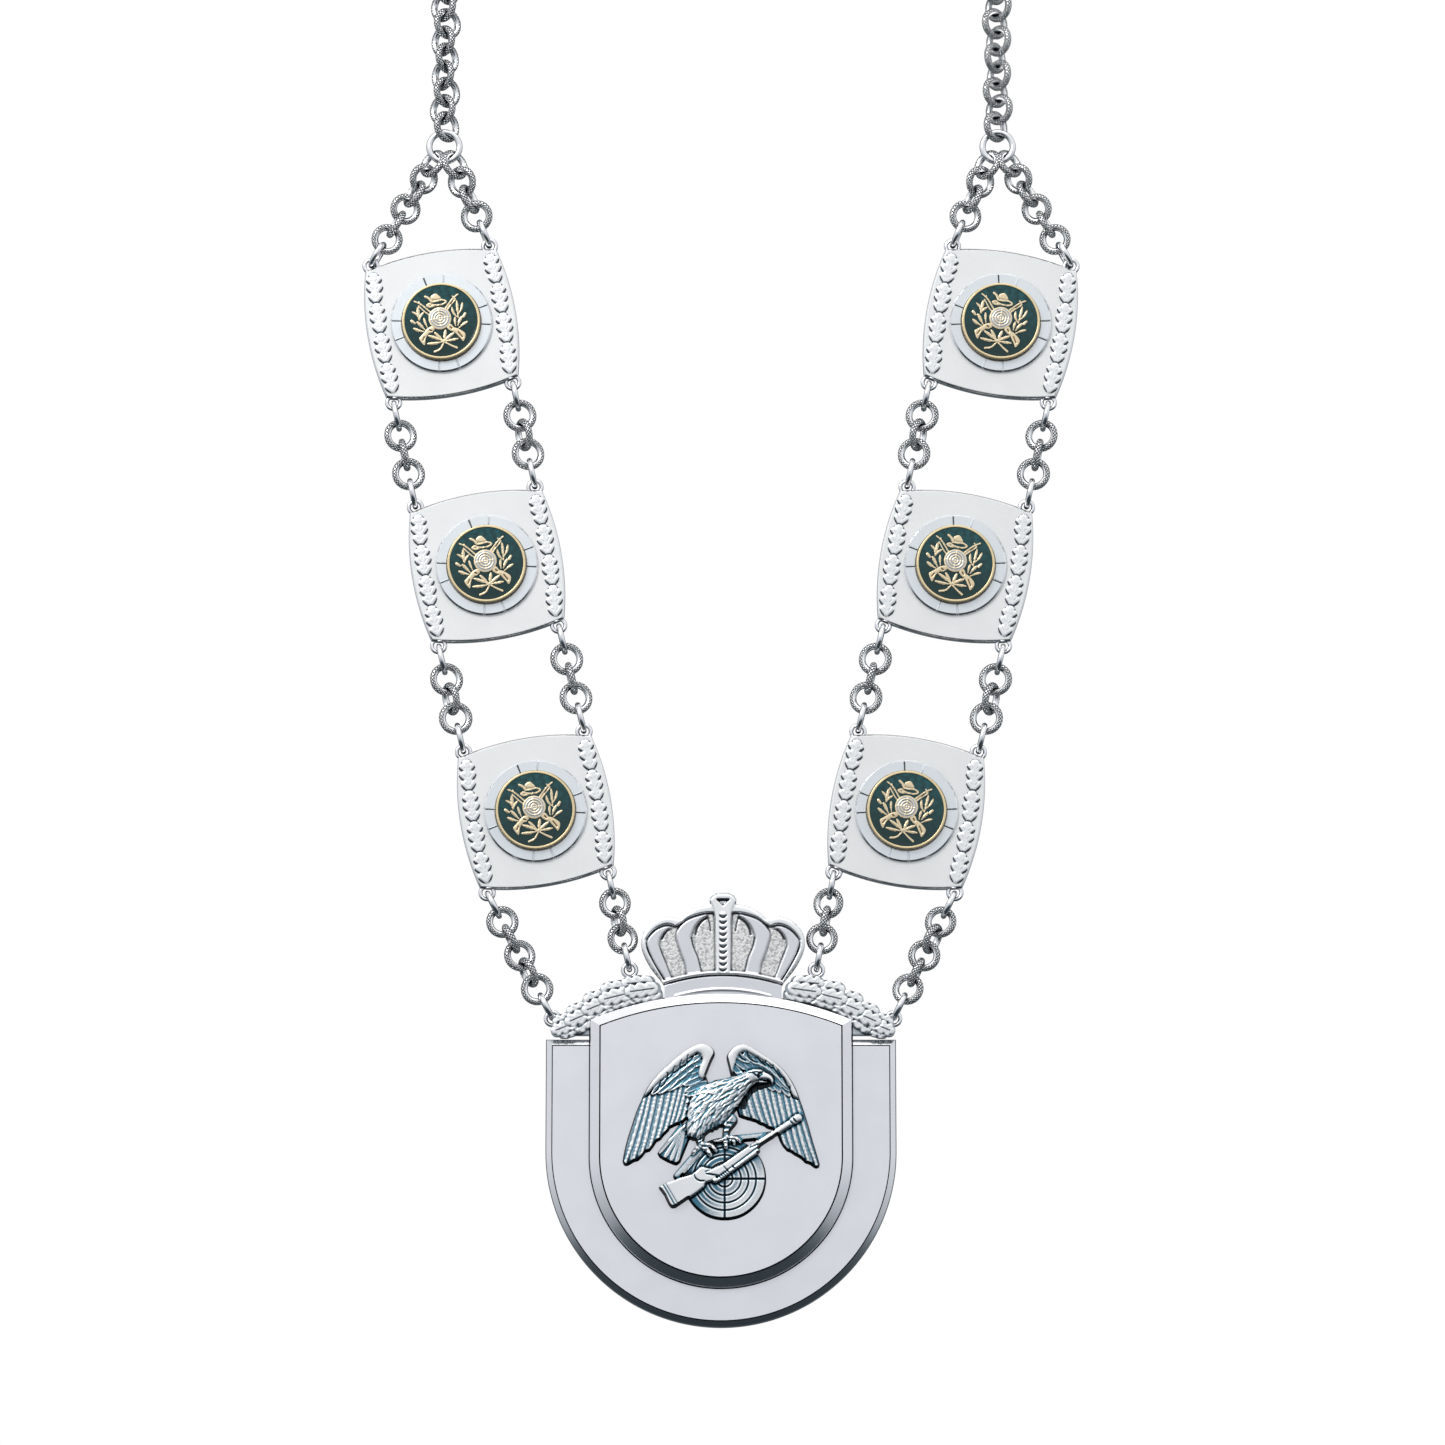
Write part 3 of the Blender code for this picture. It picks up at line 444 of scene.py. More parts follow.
def grid_faces(rows, columns, wrap_rows=True):
    """Quads over a grid of points, row by row and closed round along its columns."""
    i, j = np.meshgrid(np.arange(rows if wrap_rows else rows - 1), np.arange(columns), indexing="ij")
    i, j = i.ravel(), j.ravel()
    k, m = (i + 1) % rows, (j + 1) % columns
    faces = np.stack([i * columns + j, k * columns + j, k * columns + m, i * columns + m], 1)
    along = np.stack([i, i + 1, i + 1, i], 1) / rows
    across = np.stack([j, j, j + 1, j + 1], 1) / columns
    return faces, np.stack([along, across], 2).reshape(-1, 2)


def ring(radius, wire, around=LINK_AROUND, across=LINK_ACROSS):
    """Points, faces and map places of a round ring of wire in its own XY plane."""
    turn = np.arange(around)[:, None] * tau / around
    lean = np.arange(across)[None, :] * tau / across
    reach = radius + wire / 2 * np.cos(lean)
    height = np.sin(lean) * wire / 2 + 0 * turn
    points = np.stack([np.cos(turn) * reach, np.sin(turn) * reach, height], 2).reshape(-1, 3)
    return (points, *grid_faces(around, across))


def lathe(profile):
    """A closed round solid round Z from a profile of radius and height, with a flat end at both ends."""
    sides, levels = MEDALLION_SIDES, len(profile)
    turn = np.arange(sides) * tau / sides
    points = [np.stack([r * np.cos(turn), r * np.sin(turn), np.full(sides, h)], 1) for r, h in profile]
    walls = [list(face) for face in grid_faces(levels, sides, False)[0]]
    ends = list(range(sides))[::-1], list(range((levels - 1) * sides, levels * sides))
    return np.concatenate(points), [ends[0]] + walls + [ends[1]]


def circle(centre, radius, count, closed=False):
    """Points round a circle, with the first one again at the end when closed."""
    turn = np.linspace(0, tau, count + 1)[:-1]
    points = np.stack([centre[0] + radius * np.cos(turn), centre[1] + radius * np.sin(turn)], 1)
    return np.concatenate([points, points[:1]]) if closed else points


def crosshair(centre, reach):
    """A level and an upright line through a centre."""
    centre = np.array(centre)
    return [[centre - way, centre + way] for way in (np.array([reach, 0]), np.array([0, reach]))]


def lengths_along(points):
    """How far along a line each of its points lies."""
    return np.concatenate([[0], np.cumsum(np.linalg.norm(np.diff(points, axis=0), axis=1))])


def flow(points, step=0.5, closed=False):
    """A smooth line through points, as points about step apart."""
    points = np.asarray(points, float)
    count = len(points)
    made = []
    for i in range(count if closed else count - 1):
        near = [(i + k) % count if closed else min(max(i + k, 0), count - 1) for k in (-1, 0, 1, 2)]
        before, here, there, after = points[near]
        curve = 2 * before - 5 * here + 4 * there - after, 3 * here - before - 3 * there + after
        pieces = max(2, int(np.linalg.norm(there - here) / step))
        for t in np.arange(pieces) / pieces:
            made.append(0.5 * (2 * here + (there - before) * t + curve[0] * t ** 2 + curve[1] * t ** 3))
    if not closed:
        made.append(points[-1])
    return np.array(made)


def on_side(points, side):
    """Points drawn on the right side, put on the side asked for: -1 is left and 1 is right."""
    return [(side * x, y) for x, y in points]


def both_sides(points):
    """A closed outline from its right half, drawn from the foot to the top."""
    return points + on_side(points[::-1], -1)


# Low relief

TINY = 1e-9
LEAST = 1e-6
FAR = 99.0
OUTSIDE = -9.0
WINDOW_CELLS = 3
EDGE_REACH = 2.5
RIDGE_REACH = 10
RIM_RIDGE = 0.30
RELIEF_SHARP = 55


def box_blur(values):
    """Each value of a grid as the mean of itself and its eight neighbours."""
    padded = np.pad(values, 1, mode="edge")
    rows = padded[:-2] + padded[1:-1] + padded[2:]
    return (rows[:, :-2] + rows[:, 1:-1] + rows[:, 2:]) / 9


def soften(values, solid):
    """Values over a grid, each mixed with its neighbours that lie inside the outline."""
    def spread(v):
        padded = np.pad(v, 1, mode="edge")
        rows = padded[:-2] + 2 * padded[1:-1] + padded[2:]
        return rows[:, :-2] + 2 * rows[:, 1:-1] + rows[:, 2:]

    weight = solid.astype(float)
    return np.where(solid, spread(values * weight) / np.maximum(spread(weight), TINY), values)


def edge_distance(inside, cell, reach):
    """How far each point lies inside the whole outline, up to reach. Near the edge it keeps the values of
    inside, and seams between shapes don't count as edges."""
    near = np.pad(inside <= 0, 1, mode="edge")
    rows, columns = inside.shape
    steps = [(i, j) for i in (-1, 0, 1) for j in (-1, 0, 1) if i or j]

    def seen(values, i, j):
        return values[1 + i:1 + i + rows, 1 + j:1 + j + columns]

    rim = np.any([seen(near, i, j) for i, j in steps], axis=0)
    distance = np.where((inside <= 0) | rim, inside, reach)
    for _ in range(ceil(reach / cell)):
        padded = np.pad(distance, 1, mode="edge")
        for i, j in steps:
            distance = np.minimum(distance, np.maximum(seen(padded, i, j), 0) + cell * sqrt(i * i + j * j))
    return distance


def walled(cells, total):
    """The points that cells of a grid use, their rim, and the faces of the cells and of walls below it."""
    first, second = cells.ravel(), cells[:, [1, 2, 3, 0]].ravel()
    free = ~np.isin(first * total + second, second * total + first)
    first, second = first[free], second[free]
    used, rim = np.unique(cells), np.unique(first)
    top, low = np.full(total, -1), np.full(total, -1)
    top[used] = np.arange(len(used))
    low[rim] = len(used) + np.arange(len(rim))
    walls = np.stack([top[second], top[first], low[first], low[second]], 1)
    return used, rim, np.concatenate([top[cells], walls])


def ridge_profile(top, dome):
    """A rounded ridge: its edge at top and its middle dome higher."""
    return lambda across, along: top + dome * np.sqrt(np.clip(1 - across ** 2, 0, 1))


class Relief:
    """A relief over a grid: at each point a height, and how far it lies inside the outline.

    Shapes are laid one after the other. A shape that goes over hides what it lies on, and else it only rises
    above it. It may grow the outline. Base is a height it stands on, slot its finish, and tone lightens or
    darkens it."""

    def __init__(self, low, high, cell):
        self.cell = cell
        self.low = low
        columns = ceil((high[0] - low[0]) / cell) + 1
        rows = ceil((high[1] - low[1]) / cell) + 1
        self.x, self.y = np.meshgrid(low[0] + cell * np.arange(columns), low[1] + cell * np.arange(rows))
        self.height = np.zeros((rows, columns))
        self.inside = np.full((rows, columns), OUTSIDE)
        self.slot = np.zeros((rows, columns), int)
        self.tone = np.zeros((rows, columns))

    def window(self, points, margin):
        """The part of the grid round some points."""
        margin += WINDOW_CELLS * self.cell
        low = np.floor((points.min(0) - margin - self.low) / self.cell).astype(int)
        high = np.ceil((points.max(0) + margin - self.low) / self.cell).astype(int)
        low = np.maximum(low, 0)
        return slice(low[1], max(high[1], low[1] + 1)), slice(low[0], max(high[0], low[0] + 1))

    def stroke(self, points, widths, profile, **how):
        """A stroke along points with a half width at each. The profile gives its height from how far across
        it a point lies, from -1 to 1, and how far along, from 0 to 1."""
        points = np.asarray(points, float)
        widths = np.broadcast_to(np.asarray(widths, float), (len(points),))
        area = self.window(points, widths.max())
        x, y = self.x[area], self.y[area]
        if x.size == 0:
            return
        nearest, depth = np.full(x.shape, FAR), np.full(x.shape, OUTSIDE)
        across, along = np.zeros(x.shape), np.zeros(x.shape)
        for i in range(len(points) - 1):
            way = points[i + 1] - points[i]
            length = max(float(np.hypot(*way)), LEAST)
            from_x, from_y = x - points[i][0], y - points[i][1]
            share = np.clip((from_x * way[0] + from_y * way[1]) / length ** 2, 0, 1)
            distance = np.hypot(from_x - share * way[0], from_y - share * way[1])
            width = widths[i] + (widths[i + 1] - widths[i]) * share
            ratio = distance / np.maximum(width, LEAST)
            side = np.sign(way[0] * from_y - way[1] * from_x)
            closer = ratio < nearest
            nearest = np.where(closer, ratio, nearest)
            across = np.where(closer, np.minimum(ratio, 1) * side, across)
            along = np.where(closer, (i + share) / (len(points) - 1), along)
            depth = np.maximum(depth, width - distance)
        self.lay(area, depth, profile(across, along), **how)

    def ridge(self, points, widths, top, dome, **how):
        """A rounded stroke: its edge at top and its middle dome higher."""
        self.stroke(points, widths, ridge_profile(top, dome), **how)

    def fill(self, outline, top, dome=0.0, reach=1.0, **how):
        """A flat shape inside a closed outline, its edge rounded off over reach and dome lower."""
        outline = np.asarray(outline, float)
        area = self.window(outline, 0.0)
        x, y = self.x[area], self.y[area]
        distance, odd = np.full(x.shape, FAR), np.zeros(x.shape, bool)
        for here, there in zip(outline, np.roll(outline, -1, axis=0)):
            way = there - here
            from_x, from_y = x - here[0], y - here[1]
            share = np.clip((from_x * way[0] + from_y * way[1]) / max(way @ way, TINY), 0, 1)
            distance = np.minimum(distance, np.hypot(from_x - share * way[0], from_y - share * way[1]))
            crosses = (here[1] > y) != (there[1] > y)
            rise = way[1] if abs(way[1]) > TINY else TINY
            odd ^= crosses & (x < here[0] + (y - here[1]) / rise * way[0])
        depth = np.where(odd, distance, -distance)
        height = top - dome + dome * np.sqrt(1 - (1 - np.clip(depth / reach, 0, 1)) ** 2)
        self.lay(area, depth, height, **how)

    def groove(self, points, width, depth, tone=-0.25):
        """Cuts a rounded groove of a half width and a depth along points. The tone darkens it."""
        self.stroke(points, width, lambda across, along: -depth * np.clip(1 - across ** 2, 0, 1),
                    over=True, grow=False, base=self.height.copy(), tone=tone)

    def lay(self, area, depth, height, over=False, grow=True, base=None, slot=None, tone=0.0):
        """Lays a shape's height where its depth inside its own edge is above 0, with a soft edge."""
        if base is not None:
            height = height + base[area]
        bare = self.inside[area] <= 0
        cover = np.clip(depth / self.cell + 0.5, 0, 1)
        if not grow:
            cover = np.where(bare, 0, cover)
        before = np.where(bare, height, self.height[area])
        if not over:
            cover = np.where(height > before - TINY, cover, 0)
        self.height[area] = np.where(cover > 0, before + cover * (height - before), self.height[area])
        self.tone[area] += cover * (tone - self.tone[area])
        if slot is not None:
            self.slot[area] = np.where(cover > 0.5, slot, self.slot[area])
        if grow:
            self.inside[area] = np.maximum(self.inside[area], depth)

    def surface(self, solid, strength):
        """The height of each point, also just outside the edge, and its ridge value from 0 to 1, which says
        how far it stands above those round it."""
        weight, level = solid.astype(float), soften(self.height, solid)
        around = box_blur(level * solid) / np.maximum(box_blur(weight), TINY)
        height, total = np.where(solid, level, around), level * solid
        for _ in range(RIDGE_REACH):
            total, weight = box_blur(total), box_blur(weight)
        mean = total / np.maximum(weight, TINY)
        return height, np.clip(0.5 + (height - mean) / strength + soften(self.tone, solid), 0, 1)

    def shell(self, floor, strength, draft, wall_slot):
        """Points, faces, slots and ridge values of a shell down to floor: the grid snapped to the top's edge,
        and walls that lean out to the outline by up to the draft, most along lower edges."""
        whole = edge_distance(self.inside, self.cell, EDGE_REACH) if draft else self.inside
        slope_y, slope_x = np.gradient(np.maximum(whole, -1.5), self.cell)
        if draft:
            slope_x, slope_y = box_blur(box_blur(slope_x)), box_blur(box_blur(slope_y))
        steep = np.maximum(np.hypot(slope_x, slope_y), 0.5)
        lean = draft * (0.58 + 0.42 * np.clip(slope_y / steep, -1, 1))
        inside = whole - lean
        solid = inside > 0
        kept = solid[:-1, :-1] | solid[1:, :-1] | solid[:-1, 1:] | solid[1:, 1:]
        number = np.arange(solid.size).reshape(solid.shape)
        corners = number[:-1, :-1], number[:-1, 1:], number[1:, 1:], number[1:, :-1]
        cells = np.stack([corner[kept] for corner in corners], 1)
        used, rim, faces = walled(cells, solid.size)
        move = np.where(solid, 0, np.clip(-inside, 0, 1.5 * self.cell) / np.maximum(steep ** 2, 0.3))
        height, ridge = self.surface(solid, strength)
        points = np.stack([self.x + move * slope_x, self.y + move * slope_y, height], 2).reshape(-1, 3)
        deep = points[rim].copy()
        outwards = -np.stack([slope_x.ravel()[rim], slope_y.ravel()[rim]], 1) / steep.ravel()[rim][:, None]
        deep[:, :2] += lean.ravel()[rim][:, None] * outwards
        deep[:, 2] = floor
        slots = np.concatenate([self.slot[:-1, :-1][kept], np.full(len(faces) - len(cells), wall_slot)])
        ridges = np.concatenate([ridge.ravel()[used], np.full(len(rim), RIM_RIDGE)])
        return np.concatenate([points[used], deep]), faces, slots, ridges


def relief_mesh(name, relief, floor, finishes, strength, mirror=False, draft=0.0):
    """A relief as a closed mesh, mirrored sideways where asked, with a flat satin back. Leaning walls take
    the last finish."""
    points, faces, slots, ridges = relief.shell(floor, strength, draft, len(finishes) - 1 if draft else 0)
    if mirror:
        points = points * (-1, 1, 1)
        faces = faces[:, ::-1]
    made = Shape().add(points, faces, slots.tolist(), None, ridges)
    made = made.mesh(name, finishes + ["satin"], RELIEF_SHARP)
    back = bmesh.new()
    back.from_mesh(made)
    front = len(back.faces)
    open_edges = [edge for edge in back.edges if edge.is_boundary]
    bmesh.ops.triangle_fill(back, edges=open_edges, normal=(0, 0, -1))
    back.faces.ensure_lookup_table()
    for face in back.faces[front:]:
        face.material_index = len(finishes)
    back.to_mesh(made)
    back.free()
    return made


# Chains

def add_link(shape, centre, lengthwise, normal, radius, wire):
    """One link, its ring's axis along normal. Knurled links take the first slot and jump rings the second."""
    axis_x = lengthwise.normalized()
    axis_z = (normal - axis_x * normal.dot(axis_x)).normalized()
    turn = np.array([axis_x, axis_z.cross(axis_x), axis_z])
    points, faces, maps = ring(radius, wire)
    shape.add(points @ turn + np.array(centre), faces, 0 if wire > JUMP_WIRE else 1, maps)


def show_links(name, shape):
    """Puts a chain into the scene in place of the node of its name."""
    mesh = shape.mesh(f"links_{name}", ["knurled", "polished"])
    show(f"links_{name}", mesh, Matrix.Identity(4), [name])


def hanging_row(name, start, end, wires, roll_at):
    """A taut row of interlocked rings of one size in the front plane, whose first and last wires lie on start
    and end. roll_at gives each link's turn about the row's line, where 0 is edge-on to the viewer."""
    way = end - start
    lengthwise = Vector((way.x, 0, way.y)).normalized()
    sideways = Vector((-lengthwise.z, 0, lengthwise.x))
    touching = [(wires[i] + wires[i + 1]) / 2 - FUSE for i in range(len(wires) - 1)]
    radius = (way.length + sum(touching)) / (2 * len(wires))
    shape, along = Shape(), radius
    for i, (wire, touch) in enumerate(zip(wires, touching + [0])):
        spot = start + way.normalized() * along
        normal = Matrix.Rotation(roll_at(i), 3, lengthwise) @ sideways
        add_link(shape, Vector((spot.x, -FRONT_DEPTH, spot.y)), lengthwise, normal, radius, wire)
        along += 2 * radius - touch
    show_links(name, shape)


def strand(name, side, start, end, count):
    """A strand between two lugs: a jump ring at each end and knurled links between them, which lean a little
    from link to link and from strand to strand."""
    reach = (end - start).normalized() * JUMP_REACH
    wires = [JUMP_WIRE] + [LINK_WIRE] * (count - 2) + [JUMP_WIRE]
    seed = sum(ord(letter) for letter in name)

    def roll(i):
        lean = LINK_LEAN * (0.55 + 0.45 * sin(1.7 * i + 0.9 * seed))
        return pi / 2 * (i % 2) + side * lean * (0 if wires[i] == JUMP_WIRE else 1)

    hanging_row(name, start + reach, end - reach, wires, roll)


def fork(side, word, lugs):
    """Both strands of a fork, from inside the junction ring to the lugs of the top plaque."""
    hub = Vector((side * JUNCTION_X, JUNCTION_Z))
    for way, place_word, lug_centre in zip((-1, 1), ("left", "right"), lugs):
        count = FORK_OUTER_LINKS if way == side else FORK_INNER_LINKS
        start = hub + Vector((way * sin(FORK_SPREAD), -cos(FORK_SPREAD))) * FORK_ANCHOR
        end = lug_centre - (lug_centre - start).normalized() * JUMP_REACH

        def roll(i):
            twist = radians(45) * (1 - i / (count - 1))
            return pi / 2 * ((count - 1 - i) % 2) + way * twist

        wires = [LINK_WIRE] * (count - 1) + [JUMP_WIRE]
        hanging_row(f"fork_chain_{word}_{place_word}", start, end, wires, roll)


def neck_chain(word, side):
    """The neck chain of one side: knurled links along its route, each turned a quarter against the next."""
    rows = [(side * JUNCTION_X, -FRONT_DEPTH, JUNCTION_Z + JUNCTION_REACH)]
    rows += [(side * row["x"] * JUNCTION_X, (row["back"] - 1) * FRONT_DEPTH, row["down"] * JUNCTION_Z)
             for row in NECK_ROUTE]
    rows.append((side * (CLOSING_OUTER / 2 + GAP), 0, 0))
    route = flow(rows, 1.0)
    lengths = lengths_along(route)

    def spot(distance):
        return Vector([np.interp(distance, lengths, route[:, k]) for k in range(3)])

    first, last = NECK_FIRST - JUNCTION_REACH, lengths[-1] - NECK_LAST
    count = round((last - first) / NECK_PITCH) + 1
    across = Vector((side, 0, 0))
    shape = Shape()
    for i in range(count):
        want = first + (last - first) * i / (count - 1)
        lengthwise = (spot(want + 1) - spot(want - 1)).normalized()
        across = (across - lengthwise * across.dot(lengthwise)).normalized()
        hand = 1 if i % 2 else -1
        normal = Matrix.Rotation(hand * NECK_ROLL + NECK_UNEVEN * sin(1.9 * i), 3, lengthwise) @ across
        centre = spot(want) + across * hand * NECK_SWAY
        add_link(shape, centre, lengthwise, normal, NECK_LINK_RADIUS, LINK_WIRE)
    show_links(f"neck_chain_{word}", shape)


def plain_ring(name, outer, wire, x, y, z):
    """A plain polished ring that stands upright, facing the front."""
    points, faces, maps = ring((outer - wire) / 2, wire, around=72, across=20)
    mesh = Shape().add(points, faces, 0, maps).mesh(name, ["polished"])
    place = Matrix.Translation((x * MM, y * MM, z * MM)) @ Matrix.Rotation(pi / 2, 4, "X")
    show(f"round_{name}", mesh, place, [name])


# Plates

def arc(start, end, sagitta, segments):
    """Points from start up to but not including end, on an arc that bulges to the right of the way along."""
    chord = end - start
    outward = Vector((chord.y, -chord.x)).normalized()
    half = chord.length / 2
    radius = (half * half + sagitta * sagitta) / (2 * sagitta)
    points = []
    for i in range(segments):
        share = i / segments
        along = (share - 0.5) * 2 * half
        rise = sqrt(radius * radius - along * along) - radius + sagitta
        points.append(start + chord * share + outward * rise)
    return points


def plaque_level(inset):
    """The cushion outline of a plaque, inset all round."""
    half_x, half_y = PLAQUE_WIDTH / 2 - inset, PLAQUE_HEIGHT / 2 - inset
    corners = [Vector((across * half_x, up * half_y)) for across, up in ((-1, -1), (1, -1), (1, 1), (-1, 1))]
    return [p for i in range(4) for p in arc(corners[i], corners[(i + 1) % 4], PLAQUE_BULGE, 24)]


def shield_level(half_width, shoulder, arch, drop, inset):
    """A shield outline with a half-round foot and a straight or arched top, inset all round."""
    reach = half_width - inset
    turns = [pi + pi * i / 96 for i in range(97)]
    foot = [Vector((reach * cos(turn), reach * sin(turn) - drop)) for turn in turns]
    if not arch:
        return foot + [Vector((reach + (-2 * reach) * i / 12, shoulder - inset)) for i in range(13)]
    radius = (half_width ** 2 + arch ** 2) / (2 * arch)
    top_radius = radius - inset
    fall = sqrt(top_radius ** 2 - reach ** 2)
    start, end = (Vector((side * reach, shoulder + arch - radius + fall)) for side in (1, -1))
    return foot + arc(start, end, top_radius - fall, 48) + [end]


def layered(level, profile, slots):
    """A plate from outlines at rising heights: profile rows are inset and height, and slots are one for each
    step between rows, then one for the back and one for the front."""
    levels = [[(p.x, p.y, height) for p in level(inset)] for inset, height in profile]
    count = len(levels[0])
    walls = grid_faces(len(levels), count, False)[0][:, [0, 3, 2, 1]]
    ends = [range(count)[::-1], range((len(levels) - 1) * count, len(levels) * count)]
    chosen = [slot for slot in slots[:-2] for _ in range(count)]
    return np.array([p for row in levels for p in row]), [*walls, *ends], chosen + slots[-2:]


def front_point(x, z, turn, local):
    """Where a point of an upright piece lies in the front plane, as sideways and height."""
    across = local[0] * cos(turn) - local[1] * sin(turn)
    up = local[0] * sin(turn) + local[1] * cos(turn)
    return Vector((x + across, z + up))


def lug_places():
    """Lug centres of a plaque: upper left, upper right, lower left and lower right."""
    x, y = PLAQUE_WIDTH / 2 - LUG_INSET, PLAQUE_HEIGHT / 2 + LUG_STAND
    return [(-x, y), (x, y), (-x, -y), (x, -y)]


def add_lug(shape, centre, slot):
    points, faces, maps = ring(LUG_RADIUS, LUG_WIRE, around=36, across=14)
    shape.add(points + (centre[0], centre[1], 0), faces, slot, maps)


def plaque_mesh():
    """The base plate with its four lugs."""
    rim, face, edge = PLAQUE_RIM, PLAQUE_FACE, PLAQUE_EDGE
    profile = [(rim, -face), (0, -face + rim), (0, face - edge - rim), (0.05, face - edge),
               (edge - 0.05, face - 0.07), (edge + 0.12, face)]
    shape = Shape().add(*layered(plaque_level, profile, [1, 1, 1, 1, 0, 0, 0]))
    for centre in lug_places():
        add_lug(shape, centre, 1)
    return shape.mesh("plaque_plate", ["blasted", "polished"])


def band_turns():
    """Where the band has its sections: four at each cut, in pairs on its four sides, and some between."""
    cuts = sorted(side * pi / 2 + way * BAND_SPREAD for side in range(4) for way in (-1, 1))
    turns = []
    for i, cut in enumerate(cuts):
        turns += [cut + share * BAND_GROOVE / (MEDALLION_RADIUS + GAP) for share in (-1.4, -0.5, 0.5, 1.4)]
        span = (cuts[(i + 1) % len(cuts)] - cut) % tau
        turns += [cut + span * share for share in np.arange(1, BAND_STEPS + 1) / (BAND_STEPS + 1)]
    return turns


def band_mesh():
    """The flat ring round the medallion, with a pair of cuts on each of its four sides."""
    inner, outer = MEDALLION_RADIUS + GAP, BAND_OUTER
    low, high = PLAQUE_FACE, PLAQUE_FACE + GAP + BAND_HEIGHT
    points, slots = [], []
    for i, turn in enumerate(band_turns()):
        cut, section = divmod(i, BAND_STEPS + 4)
        top = high - (BAND_GROOVE * 1.6 if section in (1, 2) else 0.0)
        out = np.array([cos(turn), sin(turn), 0])
        for radius, height in ((inner, low), (inner, top - BAND_EDGE), (inner + BAND_EDGE, top),
                               (outer - BAND_CHAMFER, top), (outer, top - BAND_CHAMFER), (outer, low)):
            points.append(out * radius + (0, 0, height))
        face = (1 if cut in PALE_CUTS else 2) if section == 1 else 0
        slots += [0, 0, face, 1, 1, 0]
    faces, maps = grid_faces(len(points) // 6, 6)
    shape = Shape().add(points, faces[:, ::-1], slots, maps)
    return shape.mesh("plaque_band", ["frosted", "polished", "black_and_painted_shadow"], 25)


def cup_mesh():
    """The gilded cup of the medallion, with a rounded rim round a sunk floor."""
    edge, outer, inner, top = MEDALLION_EDGE, MEDALLION_RADIUS, ENAMEL_RADIUS, CUP_TOP
    profile = [(outer - 0.1, PLAQUE_FACE), (outer, CUP_BACK), (outer, top - edge)]
    leans = [pi / 2 * i / 5 for i in range(6)]
    profile += [(outer - edge + edge * cos(lean), top - edge + edge * sin(lean)) for lean in leans[1:]]
    profile += [(inner + edge - edge * sin(lean), top - edge + edge * cos(lean)) for lean in leans]
    profile.append((inner, CUP_BACK + MEDALLION_FLOOR))
    return Shape().add(*lathe(profile)).mesh("medallion_cup", ["gilt"])


def enamel_mesh():
    """The enamel, filled up to just under the rim and a little hollow from its own surface tension."""
    radius = ENAMEL_RADIUS - 0.05
    profile = [(radius, CUP_BACK + MEDALLION_FLOOR + 0.1), (radius, ENAMEL_TOP + 0.05),
               (radius - 0.4, ENAMEL_TOP - 0.02), (radius - 1.2, ENAMEL_TOP - 0.05)]
    return Shape().add(*lathe(profile)).mesh("medallion_enamel", ["enamel"])


# Leaves

# Half of an oak leaf, drawn over its length and its half width: how far along from the root, how far out
LEAF_SIDE = [(0.0, 0.2), (0.08, 0.5), (0.18, 0.84), (0.26, 0.92), (0.32, 0.76), (0.34, 0.5), (0.42, 0.8),
             (0.5, 1.0), (0.58, 0.98), (0.62, 0.78), (0.64, 0.52), (0.7, 0.74), (0.77, 0.94), (0.83, 0.88),
             (0.87, 0.7), (0.88, 0.5), (0.93, 0.5), (0.98, 0.32), (1.0, 0.0)]
LEAF_NOTCHES = [[(0.75, 0.92), (0.69, 0.74), (0.63, 0.5)], [(0.49, 0.98), (0.42, 0.8), (0.33, 0.48)],
                [(0.19, 0.8), (0.1, 0.58), (0.02, 0.32)]]
LEAF_VEINS = [[(0.79, 0.48), (0.71, 0.2)], [(0.53, 0.5), (0.43, 0.18)], [(0.27, 0.46), (0.18, 0.18)]]
LEAF_CAP = [(0.9, 0.62), (0.99, 0.36), (1.01, 0.0)]
LEAF_BODY = 0.85
LEAF_LIFT = 0.02
NOTCH_WIDTHS = np.array([0.9, 1.1, 0.6])
SHADE_WIDTHS = np.array([0.85, 1.04, 0.88])


